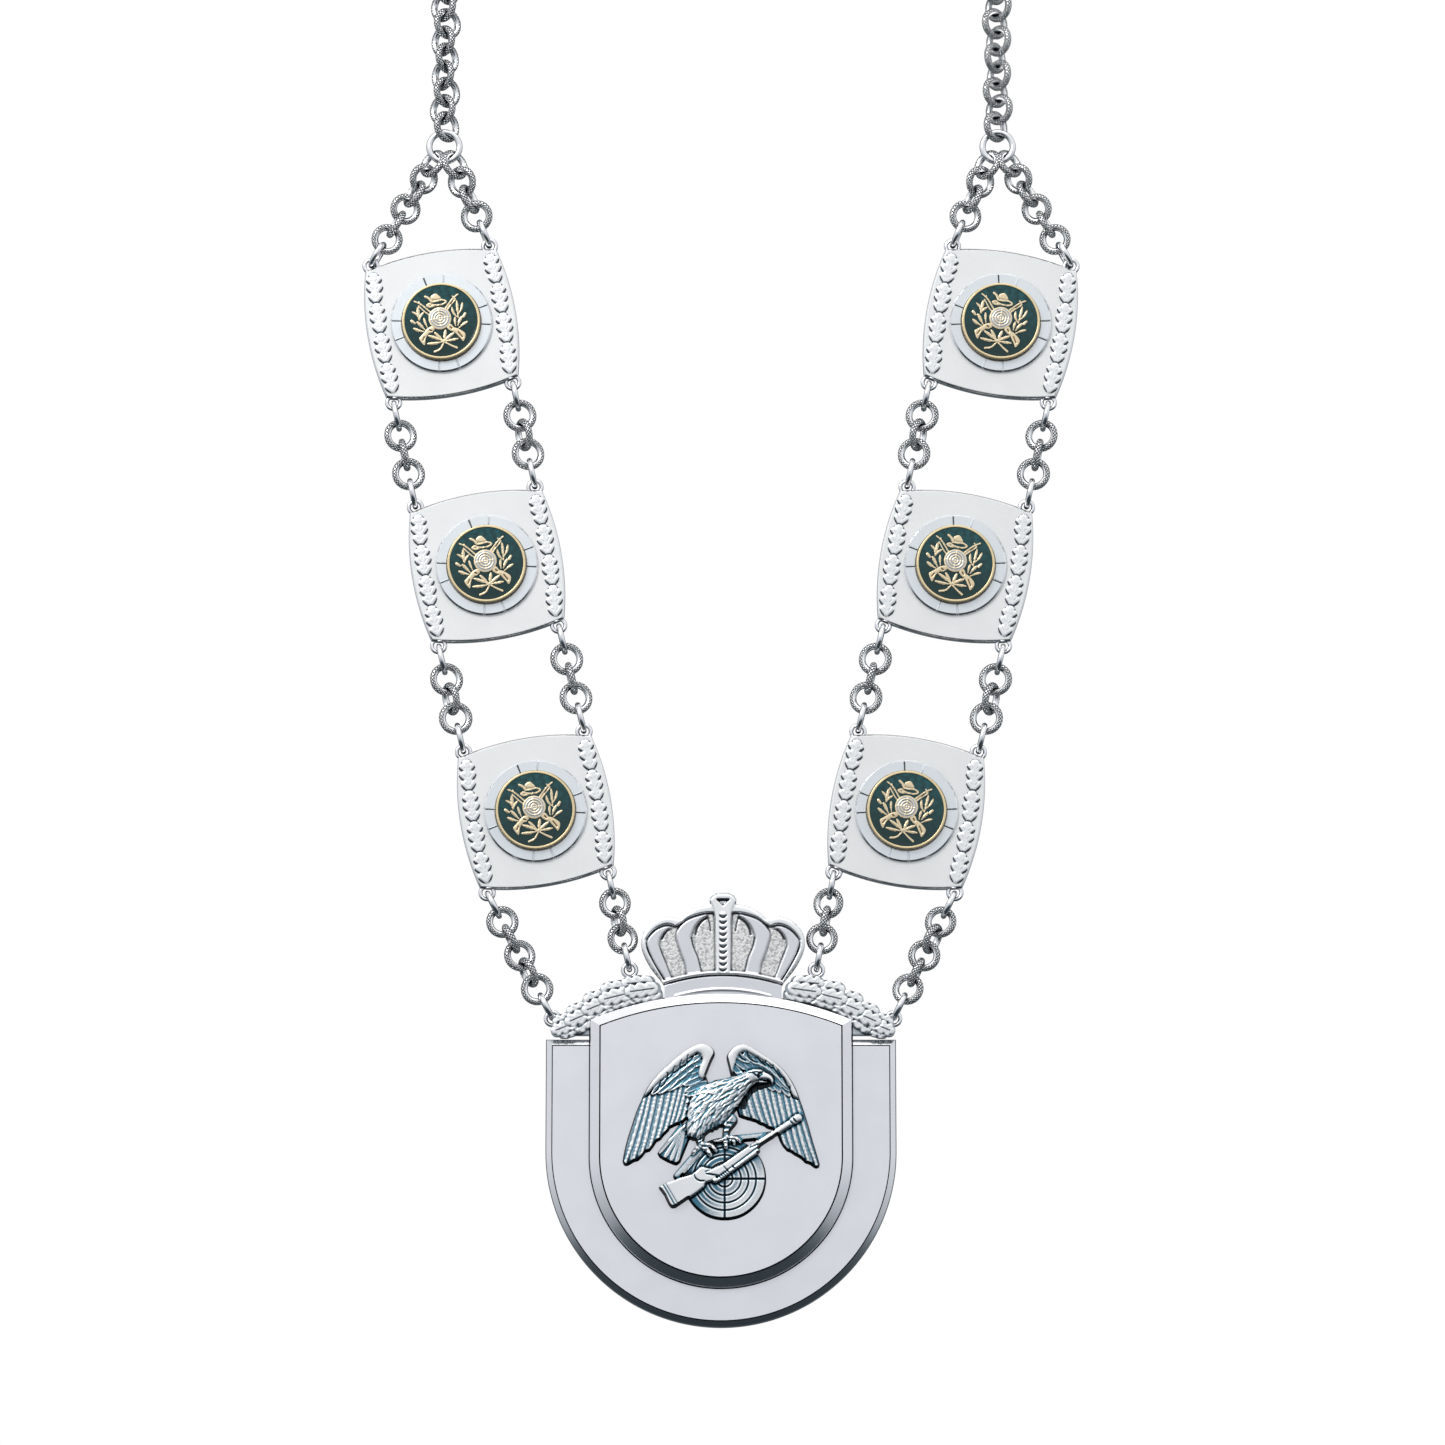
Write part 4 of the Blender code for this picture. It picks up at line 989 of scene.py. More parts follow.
def oak_leaf(relief, root, tip, half_width, top, dome, depth=1.0, cut=0.34, tone=-0.7, shade=0.0):
    """An oak leaf: dark marks that show between its lobes, partly an oxidised line and partly painted shadow,
    a softly domed lobed shape over them, and fine veins. Its lobes stand out by depth, from 0 to 1, and shade
    is painted shade: it darkens what shows round the leaf, and darkens, deepens and lengthens its rib."""
    root, tip = np.asarray(root, float), np.asarray(tip, float)
    ahead = tip - root
    out = np.array([-ahead[1], ahead[0]]) / np.hypot(*ahead) * half_width

    def placed(rows, side):
        return [root + ahead * along + out * side * far for along, far in rows]

    # painted shade: a dark halo that shows round the leaf
    if shade:
        body = [root + 0.10 * ahead, root + 0.45 * ahead, tip - ahead / np.hypot(*ahead) * half_width * 0.75]
        relief.ridge(body, SHADE_WIDTHS * half_width, top, LEAF_LIFT, over=True, tone=-shade)
    for side in (-1, 1):
        # dark marks that show between the lobes: partly an oxidised line, partly painted shadow
        for line in LEAF_NOTCHES:
            relief.ridge(placed(line, side), NOTCH_WIDTHS * cut, top, LEAF_LIFT, over=True, tone=tone)
        relief.ridge(placed(LEAF_CAP, side), 0.18, top, LEAF_LIFT, over=True, tone=0.2 * tone)
    shallow = [(along, far + (1 - depth) * max(LEAF_BODY * (1 - along ** 6) - far, 0) * (0 < along < 1))
               for along, far in LEAF_SIDE]
    outline = placed(shallow, 1)[:-1] + placed(shallow[::-1], -1)
    relief.fill(flow(outline, 0.4, closed=True), top + dome, dome=0.6 * dome, reach=1.1, over=True)
    for side in (-1, 1):
        for line in LEAF_VEINS:
            relief.groove(placed(line, side), width=0.15, depth=0.10, tone=-0.16)
    rib_end = 0.72 + 0.45 * shade
    rib = [root + 0.1 * ahead, root + rib_end * ahead]
    relief.groove(rib, width=0.15, depth=0.06 + 0.2 * shade, tone=-0.08 - 2.2 * shade)


def garland_relief():
    """The right garland of a plaque: stacked oak leaves that bow round the ring band."""
    end_x = PLAQUE_WIDTH / 2 - GARLAND_INSET
    middle_x = BAND_OUTER + GARLAND_CLEAR + GARLAND_WIDTH / 2
    relief = Relief((middle_x - 5, -21), (middle_x + 4, 21), GARLAND_CELL)

    def spot(y):
        return np.array([middle_x + (end_x - middle_x) * (2 * y / PLAQUE_HEIGHT) ** 2, y])

    span = 2 * GARLAND_END / GARLAND_LEAVES
    for i in range(GARLAND_LEAVES):
        tip, root = spot(GARLAND_END - i * span), spot(GARLAND_END - (i + 1.0) * span)
        oak_leaf(relief, root, tip, half_width=GARLAND_WIDTH / 2, top=PLAQUE_FACE + 0.12, dome=0.34)
    return relief


# The gilded device on the enamel, drawn in mm about the medallion's centre

DEVICE_CELL = 0.13
DEVICE_THIN = 0.08
DISC = (-0.2, 0.8)
DISC_RADIUS = 3.45
DISC_FIELD = 0.88 * DISC_RADIUS
DISC_RINGS = (0.8, 1.6, 2.4)
DISC_CROSS = 2.8
STOCK_LEFT = [(-2.6, -1.2), (-4.4, -1.7), (-5.2, -2.4), (-6.6, -3.6), (-7.4, -4.5), (-6.2, -6.7),
              (-5.7, -5.6), (-5.4, -4.6), (-4.8, -3.9), (-4.2, -3.3), (-3.4, -3.1), (-2.3, -2.3)]
STOCK_RIGHT = [(2.2, -1.3), (3.0, -1.7), (3.5, -2.7), (4.6, -3.2), (6.6, -5.2), (5.7, -7.4), (5.0, -6.4),
               (4.2, -5.2), (3.6, -4.3), (2.7, -3.7), (1.9, -3.1), (1.4, -2.3)]
STOCK_CUTS = [[(-5.8, -4.2), (-6.4, -5.2)], [(4.6, -4.4), (5.6, -6.1)], [(-3.9, -2.3), (-3.3, -2.7)],
              [(2.4, -2.4), (2.9, -3.0)]]

# Barrels, and the brim and feather of the hat: half width and line
BARRELS = [
    (0.3, [(-2.6, 3.0), (-5.1, 6.0), (-7.0, 7.3)]),
    (0.27, [(-3.0, 2.4), (-3.9, 3.0), (-6.0, 5.7)]),
    (0.26, [(-5.7, 6.9), (-5.2, 5.9)]),
    (0.3, [(1.9, 3.4), (2.4, 4.1), (4.7, 6.3), (6.3, 7.3)]),
    (0.27, [(2.5, 3.1), (3.0, 3.7), (5.3, 5.8)]),
    (0.26, [(4.6, 7.0), (5.4, 6.0)]),
]
HAT_CROWN = [(-1.9, 7.9), (-0.7, 8.6), (0.1, 8.4), (1.1, 6.8), (-0.8, 6.6), (-1.6, 7.1)]
HAT = [
    (0.33, [(-1.9, 6.3), (-0.2, 6.3), (1.3, 6.4), (2.5, 5.7), (1.3, 5.0), (-1.0, 5.1), (-2.6, 5.8)]),
    (0.38, [(-2.6, 5.8), (-3.4, 5.4), (-2.7, 4.9), (-1.2, 5.0)]),
    (0.42, [(-3.5, 8.2), (-2.6, 7.6), (-1.9, 6.5)]),
]

# Leaves: root, tip, how far the middle bends aside, and width
SPRIGS = [
    ((-6.5, 1.2), (-8.2, 4.2), -0.6, 0.52),
    ((-6.5, 1.2), (-6.3, 5.3), 0.0, 0.7),
    ((-6.4, 1.2), (-4.8, 3.4), 0.3, 0.52),
    ((-4.4, -1.4), (-5.0, 1.7), 0.1, 0.52),
    ((-5.2, -2.0), (-7.2, 0.9), 0.0, 0.7),
    ((-5.6, -2.5), (-8.5, -1.0), 0.2, 0.72),
    ((5.4, 0.0), (3.9, 3.6), 0.5, 0.55),
    ((5.3, 0.2), (5.7, 5.3), 0.0, 0.58),
    ((5.6, 1.2), (7.3, 4.5), -0.3, 0.52),
    ((4.1, -2.3), (4.4, 0.4), 0.1, 0.56),
    ((4.8, -2.3), (6.4, 0.2), 0.1, 0.66),
    ((5.0, -3.1), (7.9, -1.6), 0.1, 0.56),
    ((-0.1, -6.5), (-5.2, -6.4), 0.2, 0.66),
    ((-0.1, -6.5), (-4.4, -4.0), -0.1, 0.68),
    ((-0.1, -6.5), (-2.5, -3.3), 0.0, 0.62),
    ((-0.1, -6.5), (0.9, -3.1), 0.0, 0.68),
    ((-0.1, -6.5), (3.2, -4.4), 0.1, 0.68),
    ((-0.1, -6.5), (4.2, -6.4), 0.0, 0.58),
]
SPRIG_SHARES = [0, 0.3, 0.45, 0.58, 0.68, 0.80, 0.92, 1.0]
SPRIG_WIDTHS = [0.35, 0.45, 0.95, 0.80, 1.05, 0.80, 0.60, 0.30]
SPRIG_SLIM = 0.69
STEMS = [[(-0.1, -6.6), (-1.6, -8.6), (-3.4, -9.2)], [(0.3, -6.9), (2.0, -8.2), (3.4, -9.1)]]
ACORNS = [[(-8.8, 1.4), (-7.9, 0.5)], [(7.0, 0.2), (7.6, 1.0)]]


def device_relief():
    """Two crossed rifles behind a target, a hunting hat and oak leaves."""
    relief = Relief((-10.5, -10.5), (10.5, 10), DEVICE_CELL)
    low = ENAMEL_TOP
    for outline in (STOCK_LEFT, STOCK_RIGHT):
        relief.fill(flow(outline, 0.4, closed=True), top=low + 0.34, dome=0.16, reach=0.4)
    for cut in STOCK_CUTS:
        relief.groove(cut, width=0.20, depth=0.3)
    for width, line in BARRELS + HAT:
        relief.ridge(flow(line, 0.4), width - DEVICE_THIN, top=low + 0.14, dome=0.20)
    relief.fill(flow(HAT_CROWN, 0.4, closed=True), top=low + 0.38, dome=0.18, reach=0.5)
    for row in SPRIGS:
        sprig(relief, *row)
    for stem in STEMS:
        line = flow(stem, 0.4)
        relief.ridge(line, np.linspace(0.18, 0.32, len(line)), top=low + 0.14, dome=0.22)
    for acorn in ACORNS:
        relief.ridge(acorn, [0.42, 0.34], top=low + 0.14, dome=0.28)
    relief.fill(circle(DISC, DISC_RADIUS, 48), top=low + 0.38, dome=0.16, reach=0.35, over=True)
    relief.fill(circle(DISC, DISC_FIELD, 48), top=low + 0.36, over=True, slot=1, tone=-0.22)
    for radius in DISC_RINGS:
        relief.ridge(circle(DISC, radius, 48, closed=True), 0.17, top=low + 0.38, dome=0.14, slot=0)
    for line in crosshair(DISC, DISC_CROSS):
        relief.ridge(line, 0.13, top=low + 0.38, dome=0.12, slot=0)
    return relief


def sprig(relief, root, tip, bend, width):
    """One narrow leaf of the device: a thin stalk that widens in soft lobes towards a blunt tip."""
    root, tip = np.array(root), np.array(tip)
    way = tip - root
    middle = (root + tip) / 2 + np.array([-way[1], way[0]]) / np.hypot(*way) * bend
    line = flow([root, middle, tip], 0.25)
    widths = SPRIG_SLIM * width * np.interp(np.linspace(0, 1, len(line)), SPRIG_SHARES, SPRIG_WIDTHS)
    relief.ridge(line, widths, top=ENAMEL_TOP + 0.14, dome=0.24)


# The crown, drawn in mm about its own middle

CROWN_CELL = 0.19
CROWN_HALF = 17.4
CROWN_SIDE = [(17.4, 46.1), (17.5, 49.4), (19.2, 51.8), (21.0, 54.0), (22.6, 56.6), (23.8, 59.2),
              (24.4, 61.6), (24.2, 63.7), (23.1, 66.1), (20.8, 68.4), (17.6, 69.8), (14.9, 69.7),
              (12.9, 69.3), (11.8, 70.3), (10.0, 71.6), (7.4, 72.9), (5.0, 73.4), (3.8, 73.8), (4.0, 75.0),
              (3.1, 76.3), (1.6, 77.0)]
CROWN_HOLLOW = [(17.1, 50.0), (20.2, 55.3), (22.4, 59.6), (22.9, 62.4), (21.5, 64.9), (19.5, 66.5),
                (17.2, 67.4), (15.4, 67.4), (14.3, 66.9), (12.4, 67.9), (10.4, 69.3), (8.0, 70.3),
                (5.5, 70.9), (3.0, 71.1)]
CROWN_OUTER_ARCH = [(16.6, 50.2), (18.5, 52.9), (20.3, 55.8), (22.0, 59.4), (22.7, 62.4), (21.4, 64.6),
                    (19.5, 66.2), (17.2, 67.1), (15.6, 67.0), (15.3, 66.4), (16.6, 65.8), (18.2, 64.2),
                    (19.0, 62.0), (18.2, 58.9), (16.9, 55.9), (15.8, 53.0), (15.0, 50.9)]
CROWN_INNER_ARCH = [(10.4, 52.3), (11.3, 55.6), (12.9, 60.0), (14.1, 64.4), (13.2, 66.6), (12.0, 67.9),
                    (10.3, 69.1), (8.0, 70.0), (5.2, 70.7), (4.5, 70.3), (6.0, 69.3), (8.0, 67.4),
                    (9.1, 65.2), (9.5, 63.4), (8.8, 60.6), (7.6, 57.8), (6.9, 55.0), (6.5, 52.4)]

# Fine cuts: half width and line
CROWN_LINES = [
    (0.18, [(23.1, 62.8), (21.5, 65.0), (19.5, 66.7), (17.2, 67.6), (15.3, 67.5), (14.4, 66.9)]),
    (0.18, [(14.3, 66.8), (12.5, 67.9), (10.5, 69.4), (8.0, 70.4), (5.5, 71.0), (3.2, 71.1)]),
    (0.15, [(14.0, 65.2), (13.1, 67.0), (12.1, 68.0)]),
    (0.18, [(19.2, 61.5), (17.4, 57.0), (15.9, 53.0), (15.2, 51.3)]),
    (0.18, [(9.5, 63.8), (8.8, 60.8), (7.5, 57.6), (6.8, 54.8), (6.5, 53.3)]),
    (0.28, [(18.2, 63.2), (17.3, 65.0), (16.0, 66.3)]),
    (0.34, [(8.2, 64.6), (7.7, 66.6), (6.4, 68.6), (4.8, 69.6)]),
    (0.24, [(4.6, 69.7), (4.0, 67.8), (3.7, 65.6)]),
    (0.13, [(22.8, 60.6), (20.3, 55.6), (17.2, 50.8)]),
]
CROWN_BAR = [(2.2, 52.4), (2.3, 60.0), (2.4, 66.0), (2.6, 70.6), (3.2, 72.8), (3.8, 74.2), (3.8, 75.2),
             (2.9, 76.2), (1.5, 76.8)]
CROWN_GEM = [(-1.7, 74.9), (1.7, 74.9), (0.0, 73.1)]
CROWN_BEADS = 10
CROWN_BEAD_LOW = 54.4
CROWN_BEAD_PITCH = 1.79


def crown_relief():
    """White rims round stippled hollows, two smooth arches on each side, a beaded bar and a plain band."""
    relief = Relief((-27, 32), (27, 79), CROWN_CELL)
    half, face = CROWN_HALF, CROWN_FACE
    outline = flow(CROWN_SIDE, 0.8).tolist() + flow(on_side(CROWN_SIDE[::-1], -1), 0.8).tolist()
    foot = [(half, PENDANT_FOOT), (-half, PENDANT_FOOT)]
    relief.fill(foot[:1] + outline + foot[1:], top=face + 1.2, dome=0.7, reach=1.1, slot=2)
    relief.fill(both_sides(flow(CROWN_HOLLOW, 0.8).tolist()), top=face + 0.1, over=True, slot=0)
    for side in (-1, 1):
        for arch in (CROWN_OUTER_ARCH, CROWN_INNER_ARCH):
            outline = flow(on_side(arch, side), 0.7, closed=True)
            relief.fill(outline, top=face + 1.0, dome=0.35, reach=0.7, over=True, slot=1)
        for width, line in CROWN_LINES:
            relief.groove(flow(on_side(line, side), 0.6), width, depth=0.4, tone=-0.35)
    band = [(x, 49.5 + 2.8 * (1 - (x / half) ** 2)) for x in np.linspace(-half, half, 25)]
    relief.fill(foot[::-1] + band[::-1], top=face + 0.9, dome=0.1, reach=0.4, over=True, slot=1)
    relief.groove(band, width=0.20, depth=0.4, tone=-0.4)
    relief.ridge([(x, y + 0.80) for x, y in band], 0.60, top=face + 1.1, dome=0.35, over=True, slot=2)
    lower = [(x, 48.1 - 2.0 * (x / 14.0) ** 2) for x in np.linspace(-14.0, 14.0, 15)]
    relief.ridge(lower, 0.40, top=face + 0.9, dome=0.35, over=True, slot=2)
    bar = both_sides(flow(CROWN_BAR, 0.7).tolist())
    relief.fill(bar, top=face + 1.5, dome=0.5, reach=0.7, over=True, slot=2)
    for i in range(CROWN_BEADS):
        crown_bead(relief, CROWN_BEAD_LOW + i * CROWN_BEAD_PITCH)
    left, right, low = CROWN_GEM
    # the gem's top edge is cut deeper and darker than its lower edges: painted shadow under the rim above
    relief.fill(CROWN_GEM, top=face + 1.0, over=True, slot=2, tone=-0.1)
    relief.groove([left, right], width=0.30, depth=0.5, tone=-0.6)
    relief.groove([left, low, right], width=0.15, depth=0.2, tone=-0.2)
    return relief


def crown_bead(relief, y):
    """One round bead of the crown's bar, with a dark crescent cut under it that is darkened as painted
    shadow.
    """
    # painted shadow: a dark crescent cut under the bead
    crescent = [(0.95 * cos(a), y - 0.1 + 0.80 * sin(a)) for a in np.linspace(-pi + 0.25, -0.25, 9)]
    relief.groove(crescent, width=0.24, depth=0.4, tone=-0.5)
    relief.ridge([(-0.12, y), (0.12, y)], 0.72, top=CROWN_FACE + 1.35, dome=0.5, over=True, slot=2)


# The wreath's right branch, drawn in mm about the crown's middle

WREATH_CELL = 0.18
WREATH_BROADER = 1.12
WREATH_OUTLINE = [(19.2, 34.5), (50.4, 34.5), (50.0, 37.2), (46.6, 39.4), (44.4, 42.6), (40.6, 45.8),
                  (36.2, 48.4), (31.8, 50.2), (25.8, 51.6), (21.8, 50.6), (19.2, 47.2)]

# Leaves, lowest first: root, tip and half width
WREATH_LEAVES = [
    ((42.2, 37.6), (48.6, 34.6), 1.8),
    ((37.4, 41.0), (44.0, 35.8), 2.0),
    ((32.0, 44.2), (40.4, 40.0), 2.0),
    ((25.0, 46.2), (34.0, 43.4), 1.9),
    ((18.6, 46.8), (27.4, 45.6), 1.8),
    ((42.8, 40.0), (50.4, 38.2), 1.9),
    ((37.2, 43.4), (46.2, 41.2), 2.1),
    ((31.8, 46.4), (41.4, 44.8), 2.2),
    ((26.2, 48.8), (36.2, 48.0), 2.2),
    ((21.0, 50.4), (30.0, 49.8), 2.0),
    ((43.4, 38.4), (50.8, 35.4), 1.9),
    ((38.2, 41.8), (46.8, 38.0), 2.1),
    ((33.0, 45.0), (41.8, 41.4), 2.2),
    ((27.2, 47.2), (36.8, 44.8), 2.2),
    ((19.4, 48.6), (29.2, 47.2), 2.1),
]


def wreath_relief():
    """An oak branch that runs outwards from the crown: a low bed under three rows of overlapping leaves."""
    relief = Relief((17, 32), (55, 56), WREATH_CELL)
    relief.fill(WREATH_OUTLINE, WREATH_FACE, dome=0.2, reach=0.4, tone=-0.2)
    for i, (root, tip, width) in enumerate(WREATH_LEAVES):
        # shade lays painted shade round each leaf
        oak_leaf(relief, root, tip, WREATH_BROADER * width, top=WREATH_FACE + 0.15 + 0.015 * i, dome=0.28,
                 depth=0.5, cut=0.17, tone=-0.40, shade=0.26)
    above = relief.y - SHIELD_SHOULDER - GAP
    relief.inside = np.where(above < 0, np.minimum(relief.inside, above), relief.inside)
    return relief


# The eagle, target and rifles, drawn in mm about the pendant's centre

EAGLE_CELL = 0.165
EAGLE_BACK = -0.05
TARGET = (1.1, -8.6)
TARGET_RADIUS = 12.3
TARGET_RINGS = (2.2, 4.7, 6.9, 9.1)
# The way towards the target's painted shade
TARGET_SHADE_WAY = (-0.7, 0.7)
WING_LEFT = {
    "lead": [(-4.4, 22.0), (-3.0, 25.6), (-1.8, 28.2), (-2.2, 29.8), (-3.6, 31.0), (-5.6, 31.5),
             (-8.0, 30.9), (-10.2, 29.7), (-12.6, 28.0), (-15.6, 25.4), (-18.5, 22.6), (-20.7, 20.1),
             (-22.5, 17.2), (-23.5, 15.0), (-25.0, 11.5), (-26.3, 7.6), (-27.6, 3.5), (-28.6, -0.5),
             (-29.1, -3.4)],
    "trail": [(-28.7, -4.6), (-28.1, -5.1), (-26.5, -4.2), (-25.6, -3.6), (-24.4, -3.4), (-23.2, -2.2),
              (-22.2, -0.9), (-20.9, -0.5), (-20.0, 0.7), (-19.0, 2.2), (-17.6, 3.0), (-16.9, 4.0),
              (-15.6, 5.3), (-14.9, 6.3), (-13.0, 7.2), (-11.0, 8.0)],
    "shoulder": [(-7.0, 12.0), (-3.0, 18.0)],
    "inner": [(-22.6, 15.6), (-20.6, 17.5), (-18.6, 19.5), (-16.3, 21.5), (-14.3, 23.2), (-12.3, 24.9),
              (-10.2, 26.5), (-8.4, 27.8), (-7.0, 28.5), (-5.9, 28.0), (-5.5, 26.6), (-6.1, 25.0),
              (-6.6, 23.4), (-6.5, 21.9), (-5.6, 20.6)],
    "notches": [[(-7.0, 28.7), (-8.0, 28.0), (-8.8, 26.6), (-9.9, 25.6)], [(-9.7, 28.0), (-10.1, 26.8),
                (-10.2, 25.4), (-12.0, 24.1)], [(-11.6, 26.4), (-12.2, 25.2), (-12.2, 24.0), (-13.9, 22.7)],
                [(-13.6, 24.6), (-14.2, 23.5), (-14.3, 22.4), (-15.9, 20.7)], [(-15.9, 22.7), (-16.0, 21.0),
                (-16.8, 19.4), (-17.8, 18.6)], [(-17.9, 20.4), (-18.2, 18.9), (-19.0, 17.4), (-20.0, 16.6)],
                [(-20.1, 18.2), (-20.6, 17.2), (-22.4, 15.5)]],
    "coverts": [[(-6.2, 24.2), (-10.4, 22.4)], [(-7.0, 22.4), (-11.6, 20.0)], [(-9.0, 21.9), (-13.6, 18.4)],
                [(-11.4, 20.6), (-15.4, 17.6)], [(-4.0, 18.4), (-9.9, 16.1)], [(-4.8, 19.8), (-10.3, 17.3)],
                [(-5.8, 21.2), (-10.6, 19.2)], [(-5.9, 26.0), (-9.8, 24.2)], [(-8.3, 24.6), (-12.2, 21.8)],
                [(-10.4, 23.0), (-14.3, 19.9)], [(-12.8, 21.3), (-16.4, 17.6)], [(-15.2, 19.4),
                (-18.2, 16.8)], [(-6.4, 27.6), (-10.6, 25.0)], [(-8.5, 26.6), (-12.4, 23.6)], [(-10.6, 25.0),
                (-14.3, 22.1)], [(-12.6, 23.3), (-16.1, 20.2)], [(-14.6, 21.6), (-18.1, 18.5)],
                [(-16.8, 19.8), (-20.2, 16.6)]],
    "roots": [(-22.9, 15.6), (-21.4, 16.4), (-19.6, 17.2), (-17.5, 17.8), (-15.4, 18.4), (-13.6, 19.0),
              (-12.1, 19.6), (-10.8, 19.0), (-9.8, 17.9)],
    "tips": [(-28.5, -3.6), (-26.1, -2.6), (-23.8, -1.3), (-21.5, 0.1), (-19.3, 2.5), (-17.2, 4.5),
             (-15.4, 6.5), (-13.7, 7.6), (-12.0, 8.3)],
}
WING_RIGHT = {
    "lead": [(2.9, 21.6), (2.2, 24.6), (1.6, 27.4), (2.2, 28.8), (3.4, 30.2), (5.0, 31.0), (6.6, 31.3),
             (8.6, 30.7), (11.0, 29.3), (13.5, 27.6), (16.2, 25.8), (18.7, 23.5), (20.9, 20.5), (22.5, 17.3),
             (23.4, 14.8), (24.4, 12.0), (25.8, 7.5), (27.2, 2.5), (28.4, -1.5), (29.2, -4.3)],
    "trail": [(28.9, -5.4), (28.2, -5.9), (27.3, -5.3), (26.2, -4.4), (24.8, -4.0), (23.6, -2.8),
              (22.7, -2.2), (21.5, -1.6), (20.4, -0.8), (19.3, -0.4), (18.2, 0.9), (17.3, 2.6), (16.2, 5.6),
              (14.8, 5.9), (13.4, 6.3), (12.6, 7.0), (11.3, 7.4), (10.2, 8.1), (8.0, 8.7), (5.2, 9.6)],
    "shoulder": [(4.0, 14.0), (3.0, 19.0)],
    "inner": [(22.9, 15.0), (21.6, 15.5), (20.6, 17.3), (20.2, 18.8), (18.6, 20.9), (16.9, 23.1),
              (15.2, 24.6), (13.3, 25.8), (11.2, 27.0), (8.8, 28.3), (7.4, 29.0), (6.3, 28.9), (5.2, 28.1),
              (4.5, 26.9), (4.1, 25.4), (3.6, 23.8), (3.4, 22.2)],
    "notches": [[(5.3, 28.2), (6.2, 27.0), (7.4, 26.4)], [(7.6, 29.0), (8.2, 27.5), (9.4, 26.3),
                (10.9, 25.8)], [(10.8, 27.5), (11.9, 25.9), (13.4, 24.8)], [(13.2, 26.3), (14.0, 24.9),
                (15.4, 24.0)], [(15.4, 24.9), (16.4, 23.0), (17.8, 21.2)], [(16.9, 23.5), (18.3, 21.4),
                (19.3, 19.8)], [(18.6, 21.3), (19.4, 19.2), (20.3, 18.0)], [(20.4, 18.6), (20.6, 17.0),
                (21.5, 15.4), (22.8, 14.9)]],
    "coverts": [[(3.6, 24.6), (6.4, 21.8)], [(13.0, 20.8), (15.4, 17.8)], [(15.0, 20.8), (17.3, 17.2)],
                [(17.2, 20.0), (20.1, 16.1)], [(4.4, 26.4), (7.6, 23.8)], [(7.0, 26.0), (10.6, 23.2)],
                [(9.8, 25.0), (13.4, 22.4)], [(12.8, 23.8), (15.8, 21.2)], [(15.2, 22.2), (18.0, 18.8)],
                [(17.0, 21.0), (20.2, 17.6)], [(4.6, 28.2), (8.0, 26.1)], [(7.2, 28.2), (11.0, 25.6)],
                [(10.0, 27.0), (13.6, 24.7)], [(12.6, 25.6), (15.9, 23.2)], [(14.9, 24.2), (17.9, 21.0)],
                [(17.0, 22.2), (20.2, 18.4)]],
    "roots": [(22.6, 15.4), (21.0, 16.0), (19.2, 17.0), (17.2, 17.6), (15.3, 18.2), (13.4, 18.8),
              (11.5, 18.8), (9.7, 18.2), (8.0, 17.2), (6.6, 15.2)],
    "tips": [(28.6, -4.6), (26.2, -3.6), (23.9, -2.3), (21.7, -1.1), (19.5, 0.6), (17.3, 4.4), (15.1, 6.4),
             (12.8, 7.6), (10.4, 8.7), (7.8, 9.4)],
}
WING_TOP = 1.0
BARBS = 12
FEATHER_SHARES = np.array([0.0, 0.25, 0.75, 1.0])
FEATHER_WIDTHS = np.array([0.75, 1.0, 0.95, 0.55])
BODY_AXIS = [(-7.6, 5.0), (-5.6, 9.0), (-3.0, 12.6), (0.3, 15.4), (3.8, 17.8), (6.8, 20.0), (9.4, 21.6)]
BODY_WIDTHS = [2.4, 4.4, 6.2, 6.0, 4.1, 2.9, 2.2]
BODY_ROWS = 16
HEAD = [(8.8, 21.3), (10.0, 21.8), (11.2, 21.9), (12.2, 21.8)]
HEAD_WIDTHS = [2.1, 2.1, 1.9, 1.4]
BEAK = [(12.0, 21.7), (13.6, 21.5), (14.7, 20.9), (15.1, 20.1), (15.1, 19.2)]
BEAK_WIDTHS = [1.25, 1.2, 0.92, 0.58, 0.18]
JAW = [(11.4, 20.0), (13.5, 20.0)]

# Cuts round the eye and along the beak: half width and line
FACE_LINES = [
    (0.15, [(8.2, 22.6), (9.4, 22.7), (10.1, 22.1), (10.7, 21.7), (11.4, 22.2), (12.4, 23.1)]),
    (0.13, [(9.4, 22.8), (10.6, 22.9), (11.6, 22.7)]),
    (0.12, [(10.9, 21.2), (12.3, 22.2)]),
    (0.15, [(10.9, 20.5), (12.5, 20.4), (14.0, 20.6)]),
]
# Painted shadow under the head: a dark band along the throat
THROAT_SHADOW = [(14.4, 19.5), (12.4, 18.9), (10.4, 18.3), (8.6, 17.0), (7.3, 15.0), (6.6, 12.8)]
TAIL_ROOT = (-10.0, 7.6)
TAIL_TIPS = [(-17.5, -0.9), (-15.7, -1.9), (-14.0, -2.7), (-12.4, -3.3)]
TAIL_OUTLINE = [(-12.2, 7.8), (-18.9, -1.0), (-18.1, -2.4), (-16.2, -3.5), (-14.6, -4.2), (-13.0, -4.8),
                (-12.0, -3.8), (-9.0, 3.6), (-8.0, 8.0)]

